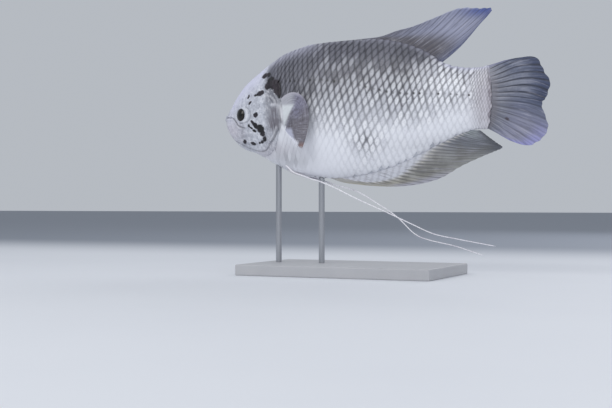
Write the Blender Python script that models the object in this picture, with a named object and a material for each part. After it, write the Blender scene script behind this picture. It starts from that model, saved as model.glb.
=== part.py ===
# Giant gourami, a life-size still model on a plain display stand.
# Metres, +Z up. The fish lies along X with its head towards -X and its left side towards -Y.
# Sizes along the fish are distances from the snout, heights are above the floor.
import bpy
import bmesh
import math
import numpy as np
from mathutils import Matrix, Vector

gap = 0.0003                 # between pieces that touch
centre_from_snout = 0.2573   # puts the middle of the whole length on the origin

# body
snout_front = -0.0008
snout_height = 0.2388
head_end = 0.1085            # rear edge of the gill cover at mid height
torso_end = 0.3180
stalk_end = 0.4340           # where the tail fin takes over, at mid height
stalk_end_curve = 0.0090
cut_width = 0.0005
gill_lean_above = 0.0165     # how far the upper end of the gill opening lies ahead of its rearmost point
gill_lean_below = 0.0450     # and the lower end, under the throat
gill_lean_fades = 0.085      # length of torso over which the lean runs out
stalk_curve_from = 0.360
around = 36                  # points round the body

# the swing of the tail, towards the left side
bend_from = 0.315
bend_to = 0.460
bend_per_metre = 2.16

# outline of the body without fins
back_line = [(snout_front, snout_height), (0.0025, 0.2445), (0.0079, 0.2520), (0.0225, 0.2750),
             (0.0350, 0.2893), (0.0460, 0.2983), (0.0580, 0.3068), (0.0680, 0.3140), (0.0800, 0.3222),
             (0.0923, 0.3298), (0.1100, 0.3372), (0.1270, 0.3422), (0.1450, 0.3456), (0.1636, 0.3472),
             (0.1946, 0.3483), (0.2254, 0.3485), (0.2543, 0.3474), (0.2746, 0.3443), (0.2932, 0.3392),
             (0.3115, 0.3324), (0.3283, 0.3242), (0.3404, 0.3162), (0.3526, 0.3076), (0.3640, 0.3030),
             (0.3787, 0.2998), (0.3971, 0.2972), (0.4118, 0.2976), (0.4340, 0.3006)]
belly_line = [(snout_front, snout_height), (0.0005, 0.2297), (0.0062, 0.2150), (0.0120, 0.2068),
              (0.0184, 0.2000), (0.0260, 0.1937), (0.0361, 0.1884), (0.0512, 0.1838), (0.0652, 0.1770),
              (0.0761, 0.1704), (0.0909, 0.1630), (0.1104, 0.1530), (0.1230, 0.1484), (0.1362, 0.1460),
              (0.1559, 0.1446), (0.1791, 0.1429), (0.1963, 0.1433), (0.2203, 0.1460), (0.2441, 0.1503),
              (0.2676, 0.1562), (0.2908, 0.1643), (0.3137, 0.1741), (0.3366, 0.1851), (0.3594, 0.1956),
              (0.3825, 0.2044), (0.4000, 0.2088), (0.4120, 0.2096), (0.4340, 0.2076)]
half_width_line = [(snout_front, 0.0), (0.0050, 0.0100), (0.0150, 0.0152), (0.0365, 0.0236),
                   (0.0550, 0.0288), (0.0800, 0.0340), (0.1085, 0.0378), (0.1350, 0.0396),
                   (0.1650, 0.0394), (0.2000, 0.0370), (0.2400, 0.0322), (0.2800, 0.0262),
                   (0.3200, 0.0207), (0.3600, 0.0163), (0.4000, 0.0122), (0.4200, 0.0086),
                   (0.4340, 0.0046)]
ridge_line = [(0.0, 1.00), (0.05, 1.06), (0.12, 1.30), (0.22, 1.42), (0.34, 1.36), (0.44, 1.10)]
keel_line = [(0.0, 0.95), (0.06, 1.08), (0.12, 1.12), (0.20, 1.30), (0.32, 1.40), (0.44, 1.10)]

# mouth, as turns from straight ahead round a point behind the snout
mouth_centre = 0.0330
mouth_line = [(0.0, 0.2394), (20.0, 0.2391), (42.0, 0.2382), (63.0, 0.2352), (75.0, 0.2306), (87.0, 0.2256),
              (98.0, 0.2232), (112.0, 0.2214)]
mouth_half_turn = 112.0
lip_stations = 27
lip_radius = 0.0024
lip_end_radius = 0.0011

# eyes and nostrils
eye_from_snout = 0.0365
eye_height = 0.2416
eye_radius = 0.0098
eye_depth = 0.0054
eye_sunk = 0.0027
rim_radius = 0.0100
rim_thickness = 0.0016
nostril_front = (0.0105, 0.2510)
nostril_rear = (0.0190, 0.2565)
nostril_radius = 0.0011

# gill covers, raised plates over the rear of the head
cover_front = 0.0740
cover_top_turn = 58.0
cover_low_turn = 152.0
cover_raised = 0.0011
cover_depth = 0.0024
cover_edge_sunk = 0.0002
cover_room_height = 0.004

# stand
base_length = 0.300
base_width = 0.180
base_thickness = 0.016
base_centre = -0.045
rod_radius = 0.0045
rods = {"stand_rod_front": 0.0900, "stand_rod_rear": 0.1620}


def curve_through(knots):
    places = np.array([k[0] for k in knots])
    values = np.array([k[1] for k in knots])
    slopes = np.gradient(values, places)

    def at(place):
        i = int(np.clip(np.searchsorted(places, place) - 1, 0, len(places) - 2))
        step = places[i + 1] - places[i]
        f = min(max((place - places[i]) / step, 0.0), 1.0)
        a = (1 + 2 * f) * (1 - f) ** 2 * values[i] + f * (1 - f) ** 2 * step * slopes[i]
        b = f * f * (3 - 2 * f) * values[i + 1] - f * f * (1 - f) * step * slopes[i + 1]
        return float(a + b)
    return at


# a line that leaves the blunt snout straight up or down is smooth against the root of the distance
def snout_curve(knots):
    line = curve_through([(math.sqrt(k[0] - snout_front), k[1]) for k in knots])
    return lambda s: line(math.sqrt(max(s - snout_front, 0.0)))


back_at = snout_curve(back_line)
belly_at = snout_curve(belly_line)
half_width_at = snout_curve(half_width_line)
ridge_at = curve_through(ridge_line)
keel_at = curve_through(keel_line)
mouth_at = curve_through(mouth_line)


def place(point):
    s, y, z = point
    if s <= bend_from:
        return Vector((s - centre_from_snout, y, z))
    turn = bend_per_metre * (min(s, bend_to) - bend_from)
    straight = max(s - bend_to, 0.0)
    x = bend_from + math.sin(turn) / bend_per_metre + straight * math.cos(turn)
    side = -(1 - math.cos(turn)) / bend_per_metre - straight * math.sin(turn)
    return Vector((x + y * math.sin(turn) - centre_from_snout, side + y * math.cos(turn), z))


# a point on the skin, turned round the body from the back (0) over the side to the belly (pi)
def skin_point(s, turn):
    top = back_at(s)
    low = belly_at(s)
    sharpness = ridge_at(s) if math.cos(turn) > 0 else keel_at(s)
    side = math.sin(turn)
    y = half_width_at(s) * math.copysign(abs(side) ** sharpness, side)
    return Vector((s, y, (top + low) / 2 + (top - low) / 2 * math.cos(turn)))


def turn_at_height(s, z):
    top = back_at(s)
    low = belly_at(s)
    return math.acos(min(max((z - (top + low) / 2) / ((top - low) / 2), -1.0), 1.0))


def skin_side(s, z):
    return skin_point(s, turn_at_height(s, z)).y


def skin_below(s, y):
    side = min(abs(y) / half_width_at(s), 1.0) ** (1 / keel_at(s))
    return skin_point(s, math.pi - math.asin(side)).z


def skin_normal(s, turn):
    along = skin_point(s + 0.0005, turn) - skin_point(s - 0.0005, turn)
    round_ = skin_point(s, turn + 0.01) - skin_point(s, turn - 0.01)
    return round_.cross(along).normalized()


# how far the edge of the gill cover lies ahead of its rearmost point
def gill_edge(turn):
    height = math.cos(turn)
    if height > 0:
        return gill_lean_above * height ** 1.5
    return gill_lean_below * (-height) ** 3.1


def make_material(name, colour, roughness, metallic=0.0):
    material = bpy.data.materials.new(name)
    material.use_nodes = True
    shader = material.node_tree.nodes["Principled BSDF"]
    shader.inputs["Base Color"].default_value = (*colour, 1.0)
    shader.inputs["Roughness"].default_value = roughness
    shader.inputs["Metallic"].default_value = metallic
    material.diffuse_color = (*colour, 1.0)
    return material


def object_from_bmesh(name, bm, material, sharp_angle=50.0):
    bmesh.ops.recalc_face_normals(bm, faces=bm.faces)
    if bm.calc_volume(signed=True) < 0:
        bmesh.ops.reverse_faces(bm, faces=bm.faces)
    mesh = bpy.data.meshes.new(name)
    bm.to_mesh(mesh)
    bm.free()
    mesh.shade_smooth()
    mesh.set_sharp_from_angle(angle=math.radians(sharp_angle))
    mesh.materials.append(material)
    made = bpy.data.objects.new(name, mesh)
    bpy.context.scene.collection.objects.link(made)
    return made


# closed loft through rings of placed points; a ring of one point closes to a tip
def loft(name, rings, material, pair_caps=True):
    bm = bmesh.new()
    rows = [[bm.verts.new(p) for p in ring] for ring in rings]
    for first, second in zip(rows, rows[1:]):
        count = max(len(first), len(second))
        for i in range(count):
            j = (i + 1) % count
            if len(first) == 1:
                bm.faces.new((first[0], second[i], second[j]))
            elif len(second) == 1:
                bm.faces.new((first[i], second[0], first[j]))
            else:
                bm.faces.new((first[i], second[i], second[j]))
                bm.faces.new((first[i], second[j], first[j]))
    for row in (rows[0], rows[-1]):
        if len(row) > 1:
            close_ring(bm, row, pair_caps)
    return object_from_bmesh(name, bm, material)


# a cap made of strips from side to side, or a fan where the ring is small
def close_ring(bm, row, paired):
    count = len(row)
    if not paired:
        for i in range(1, count - 1):
            bm.faces.new((row[0], row[i], row[i + 1]))
        return
    for i in range(count // 2):
        left, right = i, (count - i) % count
        next_left, next_right = i + 1, count - i - 1
        if left == right:
            bm.faces.new((row[left], row[next_left], row[next_right]))
        elif next_left == next_right:
            bm.faces.new((row[left], row[next_left], row[right]))
        else:
            bm.faces.new((row[left], row[next_left], row[next_right]))
            bm.faces.new((row[left], row[next_right], row[right]))


def apply_boolean(target, others, operation, solver="MANIFOLD"):
    group = bpy.data.collections.new("pieces to combine")
    for other in others:
        group.objects.link(other)
    step = target.modifiers.new("combine", "BOOLEAN")
    step.operation = operation
    step.operand_type = "COLLECTION"
    step.collection = group
    step.solver = solver
    evaluated = target.evaluated_get(bpy.context.evaluated_depsgraph_get())
    result = bpy.data.meshes.new_from_object(evaluated)
    target.modifiers.clear()
    target.data = result
    bpy.data.collections.remove(group)
    for other in others:
        bpy.data.objects.remove(other)
    keep_largest(target)


def keep_largest(target):
    bm = bmesh.new()
    bm.from_mesh(target.data)
    bmesh.ops.dissolve_degenerate(bm, dist=1e-7, edges=bm.edges)
    left = set(bm.verts)
    islands = []
    while left:
        seed = left.pop()
        island = {seed}
        front = [seed]
        while front:
            for edge in front.pop().link_edges:
                for vert in edge.verts:
                    if vert in left:
                        left.discard(vert)
                        island.add(vert)
                        front.append(vert)
        islands.append(island)
    islands.sort(key=len)
    for island in islands[:-1]:
        bmesh.ops.delete(bm, geom=list(island), context="VERTS")
    bmesh.ops.triangulate(bm, faces=bm.faces)
    bm.to_mesh(target.data)
    bm.free()
    target.data.shade_smooth()
    target.data.set_sharp_from_angle(angle=math.radians(50))


# sheet between two like grids of points, each split into triangles the same way
def sheet(name, near, far, material):
    bm = bmesh.new()
    grids = [[[bm.verts.new(p) for p in column] for column in grid] for grid in (near, far)]
    columns = len(near)
    rows = len(near[0])
    for grid, flip in ((grids[0], False), (grids[1], True)):
        for i in range(columns - 1):
            for j in range(rows - 1):
                a, b = grid[i][j], grid[i + 1][j]
                c, d = grid[i + 1][j + 1], grid[i][j + 1]
                for corners in ((a, b, c), (a, c, d)):
                    bm.faces.new(corners[::-1] if flip else corners)
    rim = [(i, 0) for i in range(columns)] + [(columns - 1, j) for j in range(1, rows)]
    rim += [(i, rows - 1) for i in range(columns - 2, -1, -1)] + [(0, j) for j in range(rows - 2, 0, -1)]
    for here, there in zip(rim, rim[1:] + rim[:1]):
        a, b = grids[0][here[0]][here[1]], grids[0][there[0]][there[1]]
        c, d = grids[1][there[0]][there[1]], grids[1][here[0]][here[1]]
        bm.faces.new((b, a, d))
        bm.faces.new((b, d, c))
    return object_from_bmesh(name, bm, material, 60.0)


# places across a fin: each ray stands as a ridge, with the web as a groove between two
def fin_columns(rays):
    columns = [(0.0, 0.4)]
    for k in range(rays):
        columns.append(((k + 0.5) / rays, 1.0))
        columns.append(((k + 1) / rays, 0.0))
    return columns


# a fin of rays: root and tip give the two ends of each ray, bow lifts its middle,
# and sway moves the sheet sideways
def make_fin(name, spec, material):
    near = []
    far = []
    for u, ridge in fin_columns(spec["rays"]):
        front_side = []
        back_side = []
        for v in spec["rows"]:
            reach = v * (1.0 - (1.0 - ridge) * spec["scallop"] * v)
            point = spec["point"](u, reach)
            across = spec["across"](u, reach)
            half = spec["web"] + (spec["ray"] - spec["web"]) * ridge * (1.0 - 0.75 * v)
            half = spec["thickness"](u, v, half)
            front_side.append(place(point + across * half))
            back_side.append(place(point - across * half))
        near.append(front_side)
        far.append(back_side)
    return sheet(name, near, far, material)


def mix(a, b, f):
    return a + (b - a) * f


def bezier(a, b, c, f):
    return a * (1 - f) ** 2 + b * 2 * f * (1 - f) + c * f * f


def plane_curves(points):
    shares = np.linspace(0.0, 1.0, len(points))
    s_at = curve_through(list(zip(shares, [p[0] for p in points])))
    z_at = curve_through(list(zip(shares, [p[1] for p in points])))
    return s_at, z_at


# the ridge of the back and the keel of the belly as the body's facets have them
def facet_line(line_at, stations):
    heights = [line_at(s) for s in stations]
    return lambda s: float(np.interp(s, stations, heights))


def body_stations():
    head = [snout_front + (head_end - snout_front) * (k / 22) ** 1.6 for k in range(23)]
    torso = list(np.linspace(head_end, torso_end, 19))
    stalk = list(np.linspace(torso_end, stalk_end, 13))
    return head, torso, stalk


def ring(s_of_turn):
    turns = [2 * math.pi * i / around for i in range(around)]
    return [place(skin_point(s_of_turn(t), t)) for t in turns]


def fold_turn(turn):
    return math.acos(math.cos(turn))


def head_ring_s(station, shift=0.0):
    share = (station - snout_front) / (head_end - snout_front)
    return lambda turn: station - share * gill_edge(fold_turn(turn)) + shift


def torso_ring_s(station, shift=0.0):
    share = max(0.0, 1.0 - (station - head_end) / gill_lean_fades) ** 1.5
    return lambda turn: station - share * gill_edge(fold_turn(turn)) + shift


def stalk_ring_s(station, shift=0.0):
    share = max(0.0, (station - stalk_curve_from) / (stalk_end - stalk_curve_from))
    return lambda turn: station - share * stalk_end_curve * math.cos(turn) ** 2 + shift


def make_body(materials):
    head, torso, stalk = body_stations()
    head_rings = [[place((snout_front, 0.0, snout_height))]]
    head_rings += [ring(head_ring_s(s)) for s in head[1:-1]]
    head_rings.append(ring(head_ring_s(head[-1], -cut_width / 2)))
    torso_rings = [ring(torso_ring_s(torso[0], cut_width / 2))]
    torso_rings += [ring(torso_ring_s(s)) for s in torso[1:-1]]
    torso_rings.append(ring(torso_ring_s(torso[-1], -gap / 2)))
    stalk_rings = [ring(stalk_ring_s(stalk[0], gap / 2))]
    stalk_rings += [ring(stalk_ring_s(s)) for s in stalk[1:]]
    made = loft("head", head_rings, materials["face"])
    loft("torso", torso_rings, materials["flank"])
    loft("tail_stalk", stalk_rings, materials["flank"])
    return made


def tube_rings(path, radii, sides):
    rings = []
    for k, point in enumerate(path):
        ahead = path[min(k + 1, len(path) - 1)]
        behind = path[max(k - 1, 0)]
        along = (ahead - behind).normalized()
        side = along.cross(Vector((0, 0, 1))).normalized()
        up = side.cross(along)
        turns = [2 * math.pi * i / sides for i in range(sides)]
        rings.append([point + radii[k] * (side * math.cos(t) + up * math.sin(t)) for t in turns])
    return rings


# a point of the skin seen from the middle of the mouth, at a turn from straight ahead
def skin_round_mouth(turn, z):
    low, high = 0.0, 0.06
    angle = math.radians(turn)
    for _ in range(40):
        reach = (low + high) / 2
        s = mouth_centre - reach * math.cos(angle)
        inside = s > snout_front and belly_at(s) < z < back_at(s)
        if inside and abs(reach * math.sin(angle)) < skin_side(s, z):
            low = reach
        else:
            high = reach
    return Vector((mouth_centre - low * math.cos(angle), low * math.sin(angle), z))


def make_lip(name, direction, material):
    path = []
    radii = []
    for k in range(lip_stations):
        share = -1 + 2 * k / (lip_stations - 1)
        turn = share * mouth_half_turn
        radius = mix(lip_radius, lip_end_radius, abs(share) ** 2)
        z = mouth_at(abs(turn)) + direction * radius * 0.93
        outer = skin_round_mouth(turn, z)
        inward = Vector((mouth_centre, 0, z)) - outer
        path.append(place(outer + inward.normalized() * radius * 0.35))
        radii.append(radius)
    return loft(name, tube_rings(path, radii, 8), material, pair_caps=False)


def aim_matrix(s, z, side, sunk):
    turn = turn_at_height(s, z)
    normal = skin_normal(s, turn)
    point = skin_point(s, turn) - normal * sunk
    normal.y *= side
    point.y *= side
    return Matrix.Translation(place(point)) @ normal.to_track_quat("Z", "Y").to_matrix().to_4x4()


def make_ball(name, matrix, radius, depth, material, segments=20, rings=10):
    bm = bmesh.new()
    bmesh.ops.create_uvsphere(bm, u_segments=segments, v_segments=rings, radius=1.0)
    bmesh.ops.triangulate(bm, faces=bm.faces)
    bm.transform(matrix @ Matrix.Diagonal((radius, radius, depth, 1.0)))
    return object_from_bmesh(name, bm, material)


def make_eye_rim(name, matrix, material):
    path_sides = 20
    rings = []
    for k in range(path_sides):
        a = 2 * math.pi * k / path_sides
        out = Vector((math.cos(a), math.sin(a), 0))
        ring_points = []
        for i in range(8):
            b = 2 * math.pi * i / 8
            reach = rim_radius + rim_thickness * math.cos(b)
            ring_points.append(matrix @ (out * reach + Vector((0, 0, rim_thickness * math.sin(b)))))
        rings.append(ring_points)
    bm = bmesh.new()
    rows = [[bm.verts.new(p) for p in one] for one in rings]
    for first, second in zip(rows, rows[1:] + rows[:1]):
        for i in range(8):
            j = (i + 1) % 8
            bm.faces.new((first[i], second[i], second[j]))
            bm.faces.new((first[i], second[j], first[j]))
    return object_from_bmesh(name, bm, material)


def cover_point(station, turn, lift):
    s = head_ring_s(station)(turn)
    return skin_point(s, turn) + skin_normal(s, turn) * lift


# plate of the gill cover; margin makes the room that it takes in the head
def make_cover(name, side, margin, material):
    columns = 7
    rows = 12
    last = head_end - cut_width / 2 - gap if margin == 0 else head_end + cover_room_height
    near = []
    far = []
    for i in range(columns + 1):
        station = mix(cover_front - margin, last, i / columns)
        outer = []
        inner = []
        for j in range(rows + 1):
            spread = 1.5 * margin / 0.001
            turn = math.radians(mix(cover_top_turn - spread, cover_low_turn + spread, j / rows))
            edge = min(j, rows - j) / rows
            rounded = math.sin(min(edge * 6, 1.0) * math.pi / 2) * math.sin(min(i / 3, 1.0) * math.pi / 2)
            lift = cover_room_height if margin > 0 else mix(-cover_edge_sunk, cover_raised, rounded)
            top = cover_point(station, turn, lift)
            bottom = cover_point(station, turn, -cover_depth - margin)
            top.y *= side
            bottom.y *= side
            outer.append(place(top))
            inner.append(place(bottom))
        near.append(outer)
        far.append(inner)
    return sheet(name, near, far, material)


def make_head(head, materials):
    joined = [make_lip("upper lip", 1, materials["face"]), make_lip("lower lip", -1, materials["face"])]
    cut = []
    for name, side in (("left", -1), ("right", 1)):
        rim_place = aim_matrix(eye_from_snout, eye_height, side, 0.0003)
        joined.append(make_eye_rim("rim " + name, rim_place, materials["face"]))
        rear_nostril = aim_matrix(*nostril_rear, side, 0.0)
        cut.append(make_ball("nostril hole " + name, rear_nostril, nostril_radius, 0.0016,
                             materials["face"], 8, 6))
        front_nostril = aim_matrix(*nostril_front, side, 0.0)
        joined.append(make_ball("nostril " + name, front_nostril, nostril_radius, 0.0014,
                                materials["face"], 8, 6))
        eye_place = aim_matrix(eye_from_snout, eye_height, side, eye_sunk)
        make_ball("eye_" + name, eye_place, eye_radius, eye_depth, materials["eye"])
        cut.append(make_ball("socket " + name, eye_place, eye_radius + gap, eye_depth + gap,
                             materials["eye"]))
        make_cover("gill_cover_" + name, side, 0.0, materials["face"])
        cut.append(make_cover("cover room " + name, side, gap, materials["face"]))
    apply_boolean(head, joined, "UNION")
    apply_boolean(head, cut, "DIFFERENCE")


# half thickness of the web between two rays and of a ray at its root
web_half = 0.0004
fin_ray_half = 0.0011

# dorsal fin
dorsal_roots = [0.1900, 0.2120, 0.2340, 0.2543, 0.2746, 0.2932, 0.3115, 0.3283, 0.3400, 0.3465, 0.3505,
                0.3520]
dorsal_tips = [(0.2050, 0.3490), (0.2290, 0.3500), (0.2570, 0.3515), (0.2830, 0.3580), (0.3080, 0.3645),
               (0.3459, 0.3767), (0.3823, 0.3825), (0.4100, 0.3800), (0.4285, 0.3766), (0.4060, 0.3555),
               (0.3850, 0.3385), (0.3620, 0.3215)]

# anal fin
anal_roots = [0.1800, 0.2000, 0.2203, 0.2441, 0.2676, 0.2908, 0.3137, 0.3366, 0.3600, 0.3760, 0.3900,
              0.4030]
anal_tips = [(0.2136, 0.1347), (0.2420, 0.1318), (0.2790, 0.1305), (0.3133, 0.1332), (0.3496, 0.1420),
             (0.3820, 0.1585), (0.4130, 0.1705), (0.4350, 0.1780), (0.4471, 0.1831), (0.4380, 0.1895),
             (0.4240, 0.1985), (0.4100, 0.2085)]

# tail fin, its margin from the upper to the lower corner of its root
tail_tips = [(0.4490, 0.3035), (0.4720, 0.3055), (0.4973, 0.3041), (0.5083, 0.2920), (0.5156, 0.2804),
             (0.5245, 0.2686), (0.5220, 0.2560), (0.5172, 0.2465), (0.5110, 0.2425), (0.5090, 0.2349),
             (0.5150, 0.2180), (0.5172, 0.2059), (0.5100, 0.1936), (0.5011, 0.1875), (0.4900, 0.1839),
             (0.4678, 0.1895), (0.4480, 0.1985)]


def sideways(u, v):
    return Vector((0, 1, 0))


def plain_thickness(u, v, half):
    return half


def dorsal_spec(stations):
    ridge = facet_line(back_at, stations)
    shares = np.linspace(0.0, 1.0, len(dorsal_roots))
    root_s = curve_through(list(zip(shares, dorsal_roots)))
    tip_s, tip_z = plane_curves(dorsal_tips)

    def point(u, v):
        s = root_s(u)
        root = Vector((s, 0, ridge(s) + gap))
        tip = Vector((tip_s(u), 0, tip_z(u)))
        middle = (root + tip) / 2 + Vector((0.004, 0, -0.003)) * min(1.0, 20 * (tip - root).length)
        here = bezier(root, middle, tip, v)
        here.y = 0.0022 * v * v * math.sin(9.0 * u + 1.0)
        return here
    return {"rays": 25, "rows": [0, 0.1, 0.35, 0.6, 0.82, 1.0], "scallop": 0.014, "web": web_half,
            "ray": fin_ray_half, "point": point, "across": sideways, "thickness": plain_thickness}


def anal_spec(stations):
    keel = facet_line(belly_at, stations)
    shares = np.linspace(0.0, 1.0, len(anal_roots))
    root_s = curve_through(list(zip(shares, anal_roots)))
    tip_s, tip_z = plane_curves(anal_tips)

    def point(u, v):
        s = root_s(u)
        root = Vector((s, 0, keel(s) - gap))
        tip = Vector((tip_s(u), 0, tip_z(u)))
        middle = (root + tip) / 2 + Vector((-0.004, 0, -0.0035)) * min(1.0, 20 * (tip - root).length)
        here = bezier(root, middle, tip, v)
        here.y = 0.0020 * v * v * math.sin(8.0 * u)
        return here
    return {"rays": 30, "rows": [0, 0.1, 0.35, 0.6, 0.82, 1.0], "scallop": 0.014, "web": web_half,
            "ray": fin_ray_half, "point": point, "across": sideways, "thickness": plain_thickness}


def tail_spec():
    tip_s, tip_z = plane_curves(tail_tips)

    def root_turn(u):
        return math.acos(mix(0.985, -0.985, u))

    def point(u, v):
        turn = root_turn(u)
        s = stalk_ring_s(stalk_end)(turn) + gap
        root = Vector((s, 0, skin_point(s, turn).z))
        tip = Vector((tip_s(u), 0, tip_z(u)))
        here = mix(root, tip, v)
        here.y = 0.0038 * v * v * math.sin(11.0 * u + 0.8) - 0.0025 * v * v
        return here

    def thickness(u, v, half):
        turn = root_turn(u)
        root_half = skin_point(stalk_end, turn).y - 0.0002
        return half + max(root_half - half, 0.0) * max(0.0, 1.0 - v / 0.24) ** 1.6
    return {"rays": 16, "rows": [0, 0.07, 0.15, 0.27, 0.42, 0.58, 0.74, 0.88, 1.0], "scallop": 0.014,
            "web": web_half, "ray": fin_ray_half, "point": point, "across": sideways, "thickness": thickness}


# pectoral fin: rays arch up and over from the fleshy root and end along its hind edge
pectoral_root = [(0.1155, 0.2635), (0.1185, 0.2530), (0.1205, 0.2415), (0.1215, 0.2295), (0.1215, 0.2200)]
pectoral_arch = [(0.1370, 0.2830), (0.1420, 0.2720), (0.1390, 0.2590), (0.1320, 0.2400), (0.1235, 0.2190)]
pectoral_reach = [(0.1850, 0.2640), (0.1690, 0.2520), (0.1540, 0.2330), (0.1380, 0.2200), (0.1250, 0.2165)]
pectoral_tips = [(0.1531, 0.1862), (0.1460, 0.1890), (0.1375, 0.1965), (0.1290, 0.2065), (0.1230, 0.2150)]
pectoral_stand_off = 0.0120


def pectoral_spec(side):
    curves = [plane_curves(p) for p in (pectoral_root, pectoral_arch, pectoral_reach, pectoral_tips)]

    def point(u, v):
        a, b, c, d = [Vector((s_at(u), 0, z_at(u))) for s_at, z_at in curves]
        here = a * (1 - v) ** 3 + b * 3 * v * (1 - v) ** 2 + c * 3 * v * v * (1 - v) + d * v ** 3
        off = pectoral_stand_off * (1 - (1 - v) ** 2) * (1 - 0.35 * u)
        here.y = side * (skin_side(a.x, a.z) + gap + 0.0006 + off)
        return here

    def across(u, v):
        if v == 0:
            return Vector((1, 0, 0))
        along = point(u, min(v + 0.02, 1.0)) - point(u, v - 0.02)
        beside = point(min(u + 0.02, 1.0), v) - point(max(u - 0.02, 0.0), v)
        flat = beside.cross(along).normalized()
        if flat.y * side > 0:
            flat = -flat
        blend = max(0.0, 1.0 - v / 0.12)
        return (flat + Vector((1, 0, 0)) * blend).normalized()

    def thickness(u, v, half):
        return half + 0.0022 * max(0.0, 1.0 - v / 0.16) ** 1.5
    return {"rays": 14, "rows": [0, 0.06, 0.14, 0.26, 0.38, 0.5, 0.62, 0.74, 0.87, 1.0], "scallop": 0.014,
            "web": web_half, "ray": 0.0009, "point": point, "across": across, "thickness": thickness}


# pelvic fin: a short fan folded back under the belly, beside the long first ray
pelvic_outer = {"root": (0.1120, 0.0112), "tip": (0.1740, 0.0118, 0.1372), "sag": 0.0030}
pelvic_inner = {"root": (0.1165, 0.0060), "tip": (0.1540, 0.0080, 0.1420), "sag": 0.0024}


def pelvic_spec(side):
    def ray_ends(ray):
        s, out = ray["root"]
        tip_s, tip_out, tip_z = ray["tip"]
        root = Vector((s, side * out, skin_below(s, out) - gap - 0.0004))
        return root, Vector((tip_s, side * tip_out, tip_z))

    def point(u, v):
        root = mix(ray_ends(pelvic_outer)[0], ray_ends(pelvic_inner)[0], u)
        root.z = skin_below(root.x, root.y) - gap - 0.0004
        tip = mix(ray_ends(pelvic_outer)[1], ray_ends(pelvic_inner)[1], u)
        sag = mix(pelvic_outer["sag"], pelvic_inner["sag"], u)
        middle = (root + tip) / 2 - Vector((0, 0, sag))
        return bezier(root, middle, tip, v)

    def across(u, v):
        along = point(u, min(v + 0.05, 1.0)) - point(u, max(v - 0.05, 0.0))
        beside = point(min(u + 0.05, 1.0), v) - point(max(u - 0.05, 0.0), v)
        flat = beside.cross(along).normalized()
        return flat if flat.z < 0 else -flat
    return {"rays": 5, "rows": [0, 0.15, 0.4, 0.7, 1.0], "scallop": 0.04, "web": web_half,
            "ray": 0.0008, "point": point, "across": across, "thickness": plain_thickness}


# the long first rays of the pelvic fins, from the belly to their tips
filament_side = 0.0146
filament_radius = 0.0012
filament_tip_radius = 0.0005
filament_paths = {
    "left": [(0.1165, 0.1570), (0.1220, 0.1522), (0.1409, 0.1463), (0.1533, 0.1420), (0.1648, 0.1388),
             (0.1887, 0.1295), (0.2296, 0.1106), (0.2715, 0.0931), (0.3087, 0.0768), (0.3429, 0.0626),
             (0.3785, 0.0555), (0.4346, 0.0460)],
    "right": [(0.1165, 0.1570), (0.1220, 0.1522), (0.1409, 0.1465), (0.1560, 0.1418), (0.1745, 0.1345),
              (0.2132, 0.1237), (0.2477, 0.1047), (0.2771, 0.0860), (0.3042, 0.0616), (0.3268, 0.0526),
              (0.3672, 0.0441), (0.4087, 0.0314)]}
filament_root = 0.1140


def make_filament(name, side, path, material):
    s_at, z_at = plane_curves(path)
    out = side * filament_side
    steps = 38
    points = [Vector((filament_root, out, skin_below(filament_root, out) - gap))]
    for k in range(steps + 1):
        points.append(Vector((s_at(k / steps), out, z_at(k / steps))))
    radii = [mix(filament_radius, filament_tip_radius, k / (steps + 1)) for k in range(steps + 2)]
    # these rays hang straight while the tail swings
    placed = [Vector((p.x - centre_from_snout, p.y, p.z)) for p in points]
    half = len(points) // 2
    along = (placed[half + 1] - placed[half]).normalized()
    front = tube_rings(placed[:half + 1], radii[:half + 1], 6)
    for point in front[0]:
        point.z = skin_below(point.x + centre_from_snout, point.y) - gap
    rear = tube_rings([placed[half] + along * gap] + placed[half + 1:], radii[half:], 6)
    loft(name + "_front", front, material, pair_caps=False)
    loft(name + "_rear", rear, material, pair_caps=False)


def make_stand(materials):
    bm = bmesh.new()
    bmesh.ops.create_cube(bm, size=1.0)
    bm.transform(Matrix.Translation((base_centre, 0, base_thickness / 2))
                 @ Matrix.Diagonal((base_length, base_width, base_thickness, 1)))
    bmesh.ops.bevel(bm, geom=bm.edges[:], offset=0.0015, segments=2, profile=0.5, affect="EDGES")
    bmesh.ops.triangulate(bm, faces=bm.faces)
    object_from_bmesh("stand_base", bm, materials["base"], 30.0)
    for name, s in rods.items():
        make_rod(name, s, materials["rod"])


# a rod whose top end follows the belly
def make_rod(name, s, material):
    sides = 20
    bm = bmesh.new()

    def circle(share, z=None):
        made = []
        for i in range(sides):
            a = 2 * math.pi * i / sides
            x = s + rod_radius * share * math.cos(a)
            y = rod_radius * share * math.sin(a)
            height = skin_below(x, y) - gap if z is None else z
            made.append(bm.verts.new((x - centre_from_snout, y, height)))
        return made

    rows = [circle(1.0, base_thickness + gap), circle(1.0), circle(0.5)]
    for first, second in zip(rows, rows[1:]):
        for i in range(sides):
            j = (i + 1) % sides
            bm.faces.new((first[i], first[j], second[j]))
            bm.faces.new((first[i], second[j], second[i]))
    middle = bm.verts.new((s - centre_from_snout, 0.0, skin_below(s, 0.0) - gap))
    for i in range(sides):
        bm.faces.new((rows[2][i], rows[2][(i + 1) % sides], middle))
    close_ring(bm, rows[0][::-1], False)
    object_from_bmesh(name, bm, material)


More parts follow.
